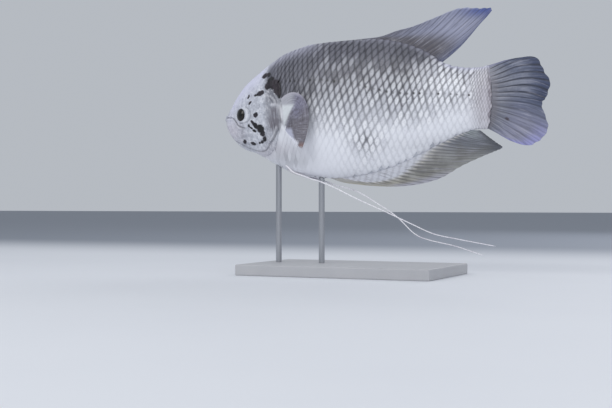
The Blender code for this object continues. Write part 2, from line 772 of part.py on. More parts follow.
def main():
    for old in list(bpy.data.objects):
        bpy.data.objects.remove(old)
    materials = {
        "face": make_material("face skin", (0.62, 0.61, 0.63), 0.45),
        "flank": make_material("scaled flank", (0.55, 0.55, 0.58), 0.40),
        "fin": make_material("fin", (0.38, 0.37, 0.42), 0.50),
        "filament": make_material("fin ray", (0.80, 0.78, 0.80), 0.50),
        "eye": make_material("eye", (0.02, 0.02, 0.02), 0.08),
        "base": make_material("base", (0.10, 0.10, 0.11), 0.45),
        "rod": make_material("rod", (0.60, 0.61, 0.62), 0.30, 1.0)}
    head = make_body(materials)
    make_head(head, materials)
    _, torso, stalk = body_stations()
    stations = torso + stalk[1:]
    make_fin("dorsal_fin", dorsal_spec(stations), materials["fin"])
    make_fin("anal_fin", anal_spec(stations), materials["fin"])
    make_fin("tail_fin", tail_spec(), materials["fin"])
    for name, side in (("left", -1), ("right", 1)):
        make_fin("pectoral_fin_" + name, pectoral_spec(side), materials["fin"])
        make_fin("pelvic_fin_" + name, pelvic_spec(side), materials["fin"])
        make_filament("pelvic_ray_" + name, side, filament_paths[name], materials["filament"])
    make_stand(materials)


main()
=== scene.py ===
import math
import random

import bpy
import numpy as np
from mathutils import Matrix, Vector


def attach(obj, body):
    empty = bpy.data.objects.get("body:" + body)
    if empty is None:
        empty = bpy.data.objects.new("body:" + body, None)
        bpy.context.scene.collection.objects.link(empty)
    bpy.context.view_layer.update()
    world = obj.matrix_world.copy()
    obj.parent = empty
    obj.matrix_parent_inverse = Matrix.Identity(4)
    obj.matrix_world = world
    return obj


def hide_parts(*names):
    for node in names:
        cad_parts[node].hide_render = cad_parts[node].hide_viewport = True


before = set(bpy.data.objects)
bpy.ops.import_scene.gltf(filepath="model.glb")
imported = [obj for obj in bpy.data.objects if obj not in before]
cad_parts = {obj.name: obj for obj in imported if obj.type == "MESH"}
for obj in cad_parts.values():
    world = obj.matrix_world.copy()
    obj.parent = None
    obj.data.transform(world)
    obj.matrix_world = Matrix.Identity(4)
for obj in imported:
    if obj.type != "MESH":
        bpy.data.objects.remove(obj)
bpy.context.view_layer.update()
print("frame loaded:", len(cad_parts), "nodes")

# Giant gourami on a plain display stand.
# "Along" is the distance from the snout down the middle of the fish, heights are above the floor.
# The left side of the fish is towards -Y, where the camera stands.

bodySizes = {
    "middle": 0.2573,            # this far from the snout lies the origin
    "snoutFront": -0.0008,
    "snoutHeight": 0.2388,
    "headEnd": 0.1085,           # rear edge of the gill cover at mid height
    "stalkEnd": 0.4340,          # root of the tail fin
    "stalkCurve": 0.0090,
    "stalkCurveFrom": 0.360,
    "gillLeanAbove": 0.0165,
    "gillLeanBelow": 0.0450,
    "gillLeanFades": 0.085,
    "bendFrom": 0.315,           # the tail swings to the left between these two
    "bendTo": 0.460,
    "bendPerMetre": 2.16,
}
backLine = [(-0.0008, 0.2388), (0.0025, 0.2445), (0.0079, 0.2520), (0.0225, 0.2750), (0.0350, 0.2893),
            (0.0460, 0.2983), (0.0580, 0.3068), (0.0680, 0.3140), (0.0800, 0.3222), (0.0923, 0.3298),
            (0.1100, 0.3372), (0.1270, 0.3422), (0.1450, 0.3456), (0.1636, 0.3472), (0.1946, 0.3483),
            (0.2254, 0.3485), (0.2543, 0.3474), (0.2746, 0.3443), (0.2932, 0.3392), (0.3115, 0.3324),
            (0.3283, 0.3242), (0.3404, 0.3162), (0.3526, 0.3076), (0.3640, 0.3030), (0.3787, 0.2998),
            (0.3971, 0.2972), (0.4118, 0.2976), (0.4340, 0.3006)]
bellyLine = [(-0.0008, 0.2388), (0.0005, 0.2297), (0.0062, 0.2150), (0.0120, 0.2068), (0.0184, 0.2000),
             (0.0260, 0.1937), (0.0361, 0.1884), (0.0512, 0.1838), (0.0652, 0.1770), (0.0761, 0.1704),
             (0.0909, 0.1630), (0.1104, 0.1530), (0.1230, 0.1484), (0.1362, 0.1460), (0.1559, 0.1446),
             (0.1791, 0.1429), (0.1963, 0.1433), (0.2203, 0.1460), (0.2441, 0.1503), (0.2676, 0.1562),
             (0.2908, 0.1643), (0.3137, 0.1741), (0.3366, 0.1851), (0.3594, 0.1956), (0.3825, 0.2044),
             (0.4000, 0.2088), (0.4120, 0.2096), (0.4340, 0.2076)]
halfWidthLine = [(-0.0008, 0.0), (0.0050, 0.0100), (0.0150, 0.0152), (0.0365, 0.0236), (0.0550, 0.0288),
                 (0.0800, 0.0340), (0.1085, 0.0378), (0.1350, 0.0396), (0.1650, 0.0394), (0.2000, 0.0370),
                 (0.2400, 0.0322), (0.2800, 0.0262), (0.3200, 0.0207), (0.3600, 0.0163), (0.4000, 0.0122),
                 (0.4200, 0.0086), (0.4340, 0.0046)]
ridgeLine = [(0.0, 1.00), (0.05, 1.06), (0.12, 1.30), (0.22, 1.42), (0.34, 1.36), (0.44, 1.10)]
keelLine = [(0.0, 0.95), (0.06, 1.08), (0.12, 1.12), (0.20, 1.30), (0.32, 1.40), (0.44, 1.10)]


def curveThrough(knots):
    places = np.array([k[0] for k in knots], float)
    values = np.array([k[1] for k in knots], float)
    slopes = np.gradient(values, places)

    def at(where):
        where = np.clip(where, places[0], places[-1])
        i = np.clip(np.searchsorted(places, where) - 1, 0, len(places) - 2)
        step = places[i + 1] - places[i]
        f = (where - places[i]) / step
        rise = (1 + 2 * f) * (1 - f) ** 2 * values[i] + f * (1 - f) ** 2 * step * slopes[i]
        return rise + f * f * (3 - 2 * f) * values[i + 1] - f * f * (1 - f) * step * slopes[i + 1]
    return at


# the blunt snout leaves its tip straight up and down, which a curve over the square root of the
# distance gives
def snoutCurve(knots):
    front = bodySizes["snoutFront"]
    line = curveThrough([(math.sqrt(k[0] - front), k[1]) for k in knots])
    return lambda along: line(np.sqrt(np.maximum(along - front, 0.0)))


backAt = snoutCurve(backLine)
bellyAt = snoutCurve(bellyLine)
halfWidthAt = snoutCurve(halfWidthLine)
ridgeAt = curveThrough(ridgeLine)
keelAt = curveThrough(keelLine)


def smooth(value, low, high):
    f = np.clip((value - low) / (high - low), 0.0, 1.0)
    return f * f * (3 - 2 * f)


def bell(distance, width):
    return np.exp(-(distance / width) ** 2)


# turn runs from the back (0) over the side to the belly (pi); a negative turn is the left side
def plainSkin(along, turn):
    top = backAt(along)
    low = bellyAt(along)
    sharpness = np.where(np.cos(turn) > 0, ridgeAt(along), keelAt(along))
    side = np.sin(turn)
    y = halfWidthAt(along) * np.sign(side) * np.abs(side) ** sharpness
    z = (top + low) / 2 + (top - low) / 2 * np.cos(turn)
    return np.stack(np.broadcast_arrays(along, y, z), -1)


def skinNormal(along, turn):
    step, swing, tiny = 0.0005, 0.01, 1e-12
    forward = plainSkin(along + step, turn) - plainSkin(along - step, turn)
    around = plainSkin(along, turn + swing) - plainSkin(along, turn - swing)
    normal = np.cross(forward, around)
    length = np.linalg.norm(normal, axis=-1, keepdims=True)
    return np.where(length < tiny, np.array([-1.0, 0.0, 0.0]), normal / np.maximum(length, tiny))


def turnAtHeight(along, z):
    top = backAt(along)
    low = bellyAt(along)
    return np.arccos(np.clip((z - (top + low) / 2) / ((top - low) / 2), -1.0, 1.0))


def sideAt(along, z):
    return plainSkin(along, turnAtHeight(along, z))[..., 1]


def skinBelow(along, y):
    share = np.minimum(np.abs(y) / halfWidthAt(along), 1.0) ** (1 / keelAt(along))
    return plainSkin(along, math.pi - np.arcsin(share))[..., 2]


# from the straight fish to its place in the frame, with the swing of the tail
def placed(points):
    points = np.asarray(points, float)
    along, y, z = points[..., 0], points[..., 1], points[..., 2]
    per = bodySizes["bendPerMetre"]
    turn = per * np.clip(along - bodySizes["bendFrom"], 0.0, bodySizes["bendTo"] - bodySizes["bendFrom"])
    before = np.minimum(along, bodySizes["bendFrom"])
    beyond = np.maximum(along - bodySizes["bendTo"], 0.0)
    x = before + np.sin(turn) / per + beyond * np.cos(turn) + y * np.sin(turn)
    side = -(1 - np.cos(turn)) / per - beyond * np.sin(turn) + y * np.cos(turn)
    return np.stack([x - bodySizes["middle"], side, z], -1)


def gillEdge(turn):
    height = np.cos(turn)
    above = bodySizes["gillLeanAbove"] * np.maximum(height, 0.0) ** 1.5
    return above + bodySizes["gillLeanBelow"] * np.maximum(-height, 0.0) ** 3.1


# lengths from the first of the points to each of them
def runOf(points):
    return np.concatenate([[0.0], np.cumsum(np.linalg.norm(np.diff(points, axis=0), axis=1))])


# a smooth line on the skin through places given as (along, height), kept on the +Y side
def lineOnSkin(points, count=70):
    line = np.array(points, float)
    lengths = runOf(line)
    alongAt = curveThrough(list(zip(lengths, line[:, 0])))
    heightAt = curveThrough(list(zip(lengths, line[:, 1])))
    shares = np.linspace(0.0, lengths[-1], count)
    along, z = alongAt(shares), heightAt(shares)
    return np.stack([along, sideAt(along, z), z], -1)


def distanceTo(points, line):
    best = np.full(len(points), 1e9)
    for one in line:
        best = np.minimum(best, ((points - one) ** 2).sum(-1))
    return np.sqrt(best)


# Marks of the coat with painted shade and highlight, the same for skin and scales.
# Creases of the face: places, width and strength of the painted shade along the crease, depth and width of
# the fold in the skin.
# The mouth's fold is made with its lips.
faceLines = {
    "mouth": ([(-0.0007, 0.2394), (0.0048, 0.2391), (0.0095, 0.2387), (0.0153, 0.2382), (0.0236, 0.2353),
               (0.0271, 0.2314), (0.0319, 0.2256), (0.0361, 0.2232), (0.0424, 0.2215)],
              0.0011, 1.0, 0.0, 0.0010),
    "orbit": ([(0.0469, 0.2533), (0.0542, 0.2475), (0.0564, 0.2413), (0.0550, 0.2353), (0.0499, 0.2310),
               (0.0427, 0.2294), (0.0344, 0.2287)], 0.0007, 0.55, 0.0007, 0.0008),
    "jawFold": ([(0.0420, 0.2215), (0.0384, 0.2171), (0.0359, 0.2112), (0.0341, 0.2037)],
                0.0010, 0.30, 0.0008, 0.0012),
    "gillMembrane": ([(0.0099, 0.2073), (0.0237, 0.2004), (0.0361, 0.1946), (0.0485, 0.1890),
                      (0.0637, 0.1855), (0.0783, 0.1864), (0.0893, 0.1958), (0.0990, 0.2080),
                      (0.1034, 0.2139)], 0.0012, 0.62, 0.0013, 0.0012),
    "cheek": ([(0.0852, 0.2618), (0.0902, 0.2464), (0.0908, 0.2314), (0.0870, 0.2166), (0.0798, 0.2050),
               (0.0672, 0.1972), (0.0521, 0.1956), (0.0389, 0.1983)], 0.0012, 0.20, 0.0005, 0.0014),
    "gillFold": ([(0.1010, 0.2250), (0.1000, 0.2130), (0.0950, 0.2030), (0.0870, 0.1950)],
                 0.0010, 0.45, 0.0007, 0.0010),
    "coverEdge": ([(0.1092, 0.2250), (0.1082, 0.2203), (0.1039, 0.2115), (0.0973, 0.2029), (0.0887, 0.1965)],
                  0.0011, 0.66, 0.0010, 0.0011),
    "upperFold": ([(0.0985, 0.2680), (0.1010, 0.2640), (0.1045, 0.2595), (0.1058, 0.2545)],
                  0.0011, 0.55, 0.0007, 0.0011),
    "frontFold": ([(0.0915, 0.2650), (0.0950, 0.2610), (0.0985, 0.2570)], 0.0010, 0.45, 0.0006, 0.0010),
}
# pale folds and rims of the face, with width and strength
paleLines = [
    ([(0.0955, 0.2537), (0.1030, 0.2536), (0.1115, 0.2530)], 0.0020, 0.55),
    ([(0.1100, 0.2515), (0.1125, 0.2440), (0.1140, 0.2340)], 0.0036, 0.80),
    ([(0.1110, 0.2240), (0.1151, 0.2186), (0.1200, 0.2125), (0.1260, 0.2049), (0.1362, 0.1914)], 0.0024, 1.0),
    ([(0.0930, 0.2675), (0.0960, 0.2643), (0.1010, 0.2594), (0.1030, 0.2548)], 0.0013, 0.75),
    ([(0.1010, 0.2690), (0.1035, 0.2654), (0.1072, 0.2607), (0.1092, 0.2546)], 0.0013, 0.70),
    ([(0.1040, 0.2210), (0.1007, 0.2140), (0.0955, 0.2060), (0.0915, 0.2020)], 0.0015, 0.85),
    ([(0.1110, 0.2190), (0.1085, 0.2120), (0.1030, 0.2030), (0.0960, 0.1950)], 0.0016, 0.50),
    ([(0.0243, 0.1939), (0.0401, 0.1857), (0.0611, 0.1776), (0.0760, 0.1708)], 0.0030, 0.70),
    ([(0.0470, 0.2492), (0.0492, 0.2450), (0.0492, 0.2390), (0.0470, 0.2335), (0.0425, 0.2306)], 0.0019, 1.0),
]
lateralLine = [(0.1150, 0.2877), (0.1472, 0.2882), (0.1952, 0.2853), (0.2322, 0.2787), (0.2532, 0.2733),
               (0.2812, 0.2655), (0.3252, 0.2632), (0.3706, 0.2603), (0.4010, 0.2575), (0.4340, 0.2545)]
# dark blotches of the face: along, height, half length, half height, tilt in degrees, strength
blotches = [
    (0.0773, 0.2997, 0.0062, 0.0050, 20, 0.60), (0.0905, 0.2905, 0.0080, 0.0070, 35, 0.75),
    (0.0985, 0.2850, 0.0090, 0.0100, 80, 0.80), (0.0860, 0.2830, 0.0062, 0.0058, 30, 0.90),
    (0.1045, 0.2790, 0.0060, 0.0125, 10, 1.0), (0.1080, 0.2700, 0.0034, 0.0070, 5, 0.9),
    (0.0735, 0.2728, 0.0080, 0.0040, 18, 1.0), (0.0640, 0.2702, 0.0030, 0.0020, 0, 0.45),
    (0.0505, 0.2690, 0.0024, 0.0046, -25, 0.42), (0.0542, 0.2590, 0.0040, 0.0020, 38, 0.78),
    (0.0661, 0.2401, 0.0050, 0.0042, 20, 0.78), (0.0596, 0.2290, 0.0052, 0.0022, -42, 0.95),
    (0.0660, 0.2235, 0.0076, 0.0040, -38, 1.0), (0.0738, 0.2190, 0.0078, 0.0068, -30, 1.0),
    (0.0768, 0.2130, 0.0052, 0.0070, 15, 1.0), (0.0560, 0.2212, 0.0042, 0.0016, -30, 0.8),
    (0.0620, 0.2165, 0.0042, 0.0021, -22, 0.95), (0.0802, 0.2039, 0.0036, 0.0046, -25, 1.0),
    (0.0745, 0.1994, 0.0034, 0.0024, 25, 0.85), (0.0690, 0.1978, 0.0022, 0.0020, 0, 0.6),
    (0.0562, 0.1975, 0.0054, 0.0025, -12, 1.0), (0.0397, 0.2011, 0.0036, 0.0036, 0, 0.9),
    (0.0520, 0.2247, 0.0020, 0.0028, 0, 0.9), (0.0840, 0.3010, 0.0060, 0.0040, 15, 0.6),
]
# soft shades: along, height, half length, half height, strength
shades = {
    "tone": [(0.1350, 0.3050, 0.042, 0.036, 0.34), (0.1120, 0.2960, 0.022, 0.022, 0.80),
             (0.0960, 0.3030, 0.014, 0.016, 0.55), (0.2950, 0.3290, 0.050, 0.024, 0.72),
             (0.2450, 0.3380, 0.060, 0.020, 0.44), (0.1700, 0.2900, 0.050, 0.030, 0.14),
             (0.1180, 0.1750, 0.040, 0.022, 0.40), (0.0900, 0.2000, 0.014, 0.012, 0.36),
             (0.2300, 0.1450, 0.060, 0.010, 0.06), (0.0330, 0.2080, 0.020, 0.012, 0.16),
             (0.3300, 0.1900, 0.050, 0.012, 0.12), (0.4180, 0.2550, 0.016, 0.070, 0.50)],
    "line": [(0.2440, 0.1960, 0.020, 0.018, 0.50), (0.3700, 0.2540, 0.016, 0.008, 0.22),
             (0.3950, 0.2800, 0.010, 0.014, 0.18), (0.3050, 0.3150, 0.045, 0.022, 0.18),
             (0.2200, 0.2200, 0.050, 0.026, 0.16), (0.1400, 0.2950, 0.040, 0.030, 0.10)],
    "brown": [(0.1050, 0.2330, 0.0110, 0.0145, 0.80), (0.0945, 0.2310, 0.0110, 0.0135, 0.55),
              (0.0985, 0.2170, 0.0080, 0.0080, 0.45), (0.1020, 0.2470, 0.0110, 0.0050, 0.35),
              (0.0980, 0.2620, 0.0100, 0.0070, 0.30)],
    "rose": [(0.0150, 0.2180, 0.024, 0.018, 0.60), (0.4250, 0.2520, 0.022, 0.060, 0.50),
             (0.1040, 0.1900, 0.030, 0.012, 0.25), (0.0700, 0.1800, 0.020, 0.008, 0.40)],
}


markSizes = {
    "seed": 5,
    "apart": 0.004,          # blotches of the right side lie up to this far from those of the left
    "headEnd": 0.142,        # creases and pale folds end before this
    "forehead": 0.026, "nape": 0.014, "rim": 0.0040,      # widths of the painted highlight along the back
    "pores": 9, "poreFront": 0.0500, "poreHeight": 0.2085, "poreWidth": 0.0005,
}


# how dark the skin is, and how dark the lines between the scales are
def backTones(along, share):
    tone = 0.86 * smooth(share, 0.24, 0.86) * smooth(along, 0.074, 0.090)
    tone *= (1 - 0.20 * smooth(along, 0.22, 0.32)) * (1 - 0.90 * smooth(along, 0.290, 0.372))
    tone += 0.40 * smooth(along, 0.4225, 0.4275)
    lower = share + 0.16 * smooth(along, 0.240, 0.340) - 0.05 * (1 - smooth(along, 0.120, 0.240))
    line = 0.02 + 0.92 * smooth(lower, 0.20, 0.74) * smooth(along, 0.085, 0.110)
    line *= 1 - 0.50 * smooth(along, 0.275, 0.370)
    line = np.maximum(line, 0.15 * smooth(along, 0.150, 0.240))
    line += 0.24 * smooth(share, 0.62, 0.92) * smooth(along, 0.320, 0.355)
    # rows beside the dorsal fin are darker
    beside = smooth(share, 0.86, 0.97) * smooth(along, 0.160, 0.220) * (1 - smooth(along, 0.335, 0.365))
    line = (line + 0.10 * beside) * (1 - 0.45 * smooth(along, 0.392, 0.404))
    line += 0.09 * smooth(along, 0.398, 0.404)
    return tone + 0.16 * beside, line


# painted highlight: the pale lilac rim of the back, where the light from above falls, broader over the
# forehead
def rimHighlight(along, fromBack):
    sizes = markSizes
    forehead = bell(fromBack, sizes["forehead"]) * (1 - smooth(along, 0.066, 0.086))
    forehead *= smooth(along, 0.004, 0.020)
    nape = 0.52 * bell(fromBack, sizes["nape"]) * smooth(along, 0.070, 0.090)
    nape *= 1 - smooth(along, 0.130, 0.180)
    behind = 0.25 + 0.75 * smooth(along, 0.345, 0.365) + 0.75 * (along < 0.150)
    rim = 0.75 * bell(fromBack, sizes["rim"]) * behind
    return np.minimum(np.maximum(np.maximum(forehead, nape), rim), 1.0)


# above 0 inside a blotch, below 0 outside
def blotchField(along, z, left):
    draw = random.Random(markSizes["seed"])
    apart = markSizes["apart"]
    field = np.full(len(along), -1.0)
    for sAt, zAt, ds, dz, tilt, strength in blotches:
        dAlong, dUp = draw.uniform(-apart, apart), draw.uniform(-apart, apart)
        fromAlong = along - np.where(left, sAt, sAt + dAlong)
        fromHeight = z - np.where(left, zAt, zAt + dUp)
        c, k = math.cos(math.radians(tilt)), math.sin(math.radians(tilt))
        a = (fromAlong * c + fromHeight * k) / ds
        b = (-fromAlong * k + fromHeight * c) / dz
        inside = 1.0 - np.sqrt(a * a + b * b)
        field = np.maximum(field, np.clip(inside, -1.0, 0.35) + 0.30 * (strength - 1.0))
    return field


# painted shade along the creases of the head, and the grey specks of its pores, given by points of its +Y
# side
def creaseShadeField(q):
    sizes = markSizes
    depth = np.zeros(len(q))
    for key, (_, width, strength, _, _) in faceLines.items():
        near = bell(distanceTo(q, faceCurves[key]), width)
        if key == "mouth":
            near = near * (0.18 + 0.82 * smooth(q[:, 0], 0.016, 0.027))
        depth = np.maximum(depth, strength * near)
    for k in range(sizes["pores"]):
        along = sizes["poreFront"] + 0.0022 * (k % 4)
        z = sizes["poreHeight"] + 0.0030 * (k // 4) + 0.0006 * (k % 2)
        spot = np.array([along, sideAt(along, z), z])
        depth = np.maximum(depth, 0.5 * bell(np.linalg.norm(q - spot, axis=1), sizes["poreWidth"]))
    return depth


def coatMarksAndPaintedLight(points):
    q = np.array(points, float)
    along, z = q[:, 0], q[:, 2]
    top, low = backAt(along), bellyAt(along)
    tone, line = backTones(along, (z - low) / np.maximum(top - low, 1e-6))
    made = {"tone": tone, "line": line, "brown": np.zeros(len(q)), "rose": np.zeros(len(q))}
    for key, spots in shades.items():
        for sAt, zAt, ds, dz, strength in spots:
            reach = ((along - sAt) / ds) ** 2 + ((z - zAt) / dz) ** 2
            made[key] = made[key] + strength * np.exp(-reach)
    made["brown"] *= smooth(along, 0.0790, 0.0860)
    # painted highlight along the back and over the forehead
    made["lilacHighlight"] = rimHighlight(along, top - z)
    made["blotch"] = blotchField(along, z, q[:, 1] <= 0)
    head = along < markSizes["headEnd"]
    mirrored = q[head]
    mirrored[:, 1] = np.abs(mirrored[:, 1])
    # painted shade along the creases of the face, and its pale folds
    made["creaseShade"], made["white"] = np.zeros(len(q)), np.zeros(len(q))
    made["creaseShade"][head] = creaseShadeField(mirrored)
    made["white"][head] = np.max([strength * bell(distanceTo(mirrored, curve), width)
                                  for curve, width, strength in paleCurves], axis=0)
    return made


faceCurves = {key: lineOnSkin(line[0]) for key, line in faceLines.items()}
paleCurves = [(lineOnSkin(places), width, strength) for places, width, strength in paleLines]


# one step of shader maths, for a wire and what is given after it
def maths(operation):
    def step(self, *others):
        return self.paint.node("ShaderNodeMath", {"operation": operation}, dict(enumerate((self, *others))))
    return step


# Shader maths as plain expressions: a wire is one output of a node.
class Wire:
    def __init__(self, paint, socket):
        self.paint = paint
        self.socket = socket

    __add__ = __radd__ = maths("ADD")
    __mul__ = __rmul__ = maths("MULTIPLY")
    __sub__, __pow__ = maths("SUBTRACT"), maths("POWER")
    least, most = maths("MINIMUM"), maths("MAXIMUM")
    sine, root = maths("SINE"), maths("SQRT")
    fraction, size = maths("FRACT"), maths("ABSOLUTE")
    turn = maths("ARCTAN2")

    def __rsub__(self, other):
        return self.paint.node("ShaderNodeMath", {"operation": "SUBTRACT"}, {0: other, 1: self})

    def rise(self, low, high):
        settings = {"interpolation_type": "SMOOTHSTEP"}
        return self.paint.node("ShaderNodeMapRange", settings, {0: self, 1: low, 2: high})

    def fall(self, low, high):
        return 1 - self.rise(low, high)


# 0 in the middle of an oval and growing outwards, with one factor for its width and one for its height
def oval(across, up, wide=1.0, tall=1.0):
    return (across * across * wide + up * up * tall).root()


# a colour given as red, green and blue up to 255
def tint(red, green, blue):
    def linear(c):
        c = c / 255
        return c / 12.92 if c <= 0.04045 else ((c + 0.055) / 1.055) ** 2.4
    return (linear(red), linear(green), linear(blue), 1.0)


class Paint:
    def __init__(self, name, roughness=0.45, coat=0.0, metallic=0.0):
        self.material = bpy.data.materials.new(name)
        self.material.use_nodes = True
        self.tree = self.material.node_tree
        self.shader = self.tree.nodes["Principled BSDF"]
        self.shader.inputs["Roughness"].default_value = roughness
        self.shader.inputs["Coat Weight"].default_value = coat
        self.shader.inputs["Coat Roughness"].default_value = 0.18
        self.shader.inputs["Metallic"].default_value = metallic

    def node(self, kind, settings, values, output=0):
        made = self.tree.nodes.new(kind)
        for key, value in settings.items():
            setattr(made, key, value)
        for key, value in values.items():
            if isinstance(value, Wire):
                self.tree.links.new(value.socket, made.inputs[key])
            else:
                made.inputs[key].default_value = value
        return Wire(self, made.outputs[output])

    def attribute(self, name):
        return self.node("ShaderNodeAttribute", {"attribute_name": name}, {}, "Fac")

    def place(self):
        return self.node("ShaderNodeTexCoord", {}, {}, "Object")

    def sideAndHeight(self):
        split = self.node("ShaderNodeSeparateXYZ", {}, {0: self.place()}, "X")
        return split, Wire(self, split.socket.node.outputs["Z"])

    def plan(self, name):
        uv = self.node("ShaderNodeUVMap", {"uv_map": name}, {})
        split = self.node("ShaderNodeSeparateXYZ", {}, {0: uv}, "X")
        return split, Wire(self, split.socket.node.outputs["Y"])

    def point(self, x, y, z=0.0):
        return self.node("ShaderNodeCombineXYZ", {}, {0: x, 1: y, 2: z})

    def noise(self, where, scale, detail=3.0, roughness=0.6):
        return self.node("ShaderNodeTexNoise", {},
                         {"Vector": where, "Scale": scale, "Detail": detail, "Roughness": roughness})

    def cells(self, where, scale):
        return self.node("ShaderNodeTexVoronoi", {}, {"Vector": where, "Scale": scale})

    def mix(self, first, second, share):
        colours = [tint(*one) if isinstance(one, tuple) else one for one in (first, second)]
        return self.node("ShaderNodeMix", {"data_type": "RGBA"}, {0: share, 6: colours[0], 7: colours[1]}, 2)

    # further colours laid over a ground one by one, each with its share
    def over(self, ground, *coats):
        for colour, share in coats:
            ground = self.mix(ground, colour, share)
        return ground

    def bump(self, height, strength, distance):
        return self.node("ShaderNodeBump", {}, {"Height": height, "Strength": strength, "Distance": distance})

    def finish(self, **links):
        names = {"colour": "Base Color", "roughness": "Roughness", "normal": "Normal"}
        for key, wire in links.items():
            self.tree.links.new(wire.socket, self.shader.inputs[names[key]])
        return self.material


coatColours = {
    "pale": (207, 210, 219), "back": (84, 84, 94), "blotch": (9, 8, 12), "brown": (112, 108, 116),
    # the lilac colour is a painted highlight, and the crease and mouth colours are painted shade in the
    # creases
    "rose": (206, 190, 200), "lilacHighlight": (222, 222, 244), "creaseShade": (84, 84, 92), "mouth": (52, 44, 50),
    "white": (244, 244, 248), "line": (46, 44, 52), "lozenge": (247, 248, 254), "backLozenge": (82, 82, 92),
}


def brownStreaks(paint):
    aside, height = paint.sideAndHeight()
    streak = paint.noise(paint.point(aside * 420.0, height * 60.0), 1.0)
    return (paint.attribute("brown") * (0.62 + streak.rise(0.36, 0.62) * 0.70)).least(1.0)


# the marks and painted highlight that skin and scales share, over a ground colour
def withMarksAndHighlight(paint, ground, where):
    colours = coatColours
    patch = paint.noise(where, 60.0, 4.0)
    ragged = paint.noise(where, 230.0, 4.0, 0.65)
    fine = paint.noise(where, 900.0, 2.0, 0.5)
    field = paint.attribute("blotch") + (ragged - 0.5) * 0.95 + (fine - 0.5) * 0.45
    dark = paint.mix(colours["blotch"], (60, 50, 60), patch.rise(0.44, 0.62) * 0.55)
    return paint.over(ground, (colours["rose"], paint.attribute("rose").least(1.0) * 0.55),
                      (colours["brown"], (brownStreaks(paint) * (0.55 + patch * 0.9)).least(0.92)),
                      # painted highlight along the back and over the forehead
                      (colours["lilacHighlight"], paint.attribute("lilacHighlight") * 0.85),
                      (colours["white"], paint.attribute("white") * 0.85),
                      (dark, field.rise(-0.16, 0.16) * 0.98))


def skinPaint():
    colours = coatColours
    paint = Paint("fish skin", 0.42, 0.06)
    paint.shader.inputs["Specular IOR Level"].default_value = 0.30
    where = paint.place()
    cloud = paint.noise(where, 28.0, 4.0)
    speck = paint.noise(where, 420.0)
    mottle = paint.noise(where, 170.0, 4.0, 0.65)
    ground = paint.over(
        colours["pale"], (colours["back"], (paint.attribute("tone") * (0.75 + cloud * 0.5)).least(1.0)),
        ((158, 160, 170), cloud.rise(0.45, 0.70) * 0.45), ((118, 120, 130), mottle.rise(0.50, 0.72) * 0.42),
        (colours["white"], mottle.fall(0.30, 0.54) * 0.55),
        ((118, 118, 126), paint.noise(where, 360.0).rise(0.52, 0.70) * 0.30),
        (colours["brown"], (speck - 0.45).most(0.0) * 0.60))
    # painted highlight: white glints within the lilac highlight of the forehead
    glint = paint.noise(where, 640.0, 2.0, 0.5).rise(0.60, 0.74)
    # painted shade: the creases of the face darken, darkest in the mouth's gap
    creaseShade = paint.attribute("creaseShade")
    colour = paint.over(
        withMarksAndHighlight(paint, ground, where), (colours["white"], glint * paint.attribute("lilacHighlight") * 0.7),
        (colours["creaseShade"], (creaseShade * 1.15).least(0.88)), (colours["mouth"], creaseShade.rise(0.72, 1.0) * 0.9))
    height = speck * 0.5 + paint.cells(where, 520.0) * 0.5 + cloud * 0.6 + mottle * 0.9
    return paint.finish(colour=colour, normal=paint.bump(height, 0.20, 0.0006),
                        roughness=0.36 + speck * 0.16)


# Scales. The plan of a scale runs from root to rear edge (x) and from its lower to its upper side (y);
# lengths are in steps between two scales of a row, and widths in steps between two rows.
scaleForm = {
    "rear": 0.50,          # rear edge, from the middle of the scale
    "root": -0.98,
    "half": 1.04,          # half its width
    "shift": 0.30,         # a row lies this much further back than the row above it
    "round": 1.35,         # 1 makes a pointed lozenge of what is seen of a scale
    "thick": 0.00028,
    "sunk": 0.00085,       # the skin lies this deep under the outer surface
    "rise": 0.00110,
    "lean": 0.00013,
    "dome": 0.00030,
    "along": 4,
    "across": 9,
}


# rear edge of a scale: one slope above its tip and a flatter one below, so that the lozenges lean
def rearEdge(v, most, power):
    above = power(most(v), scaleForm["round"]) * scaleForm["shift"]
    below = power(most(v * -1.0), scaleForm["round"]) * (1 - scaleForm["shift"])
    return above * -1.0 - below + scaleForm["rear"]


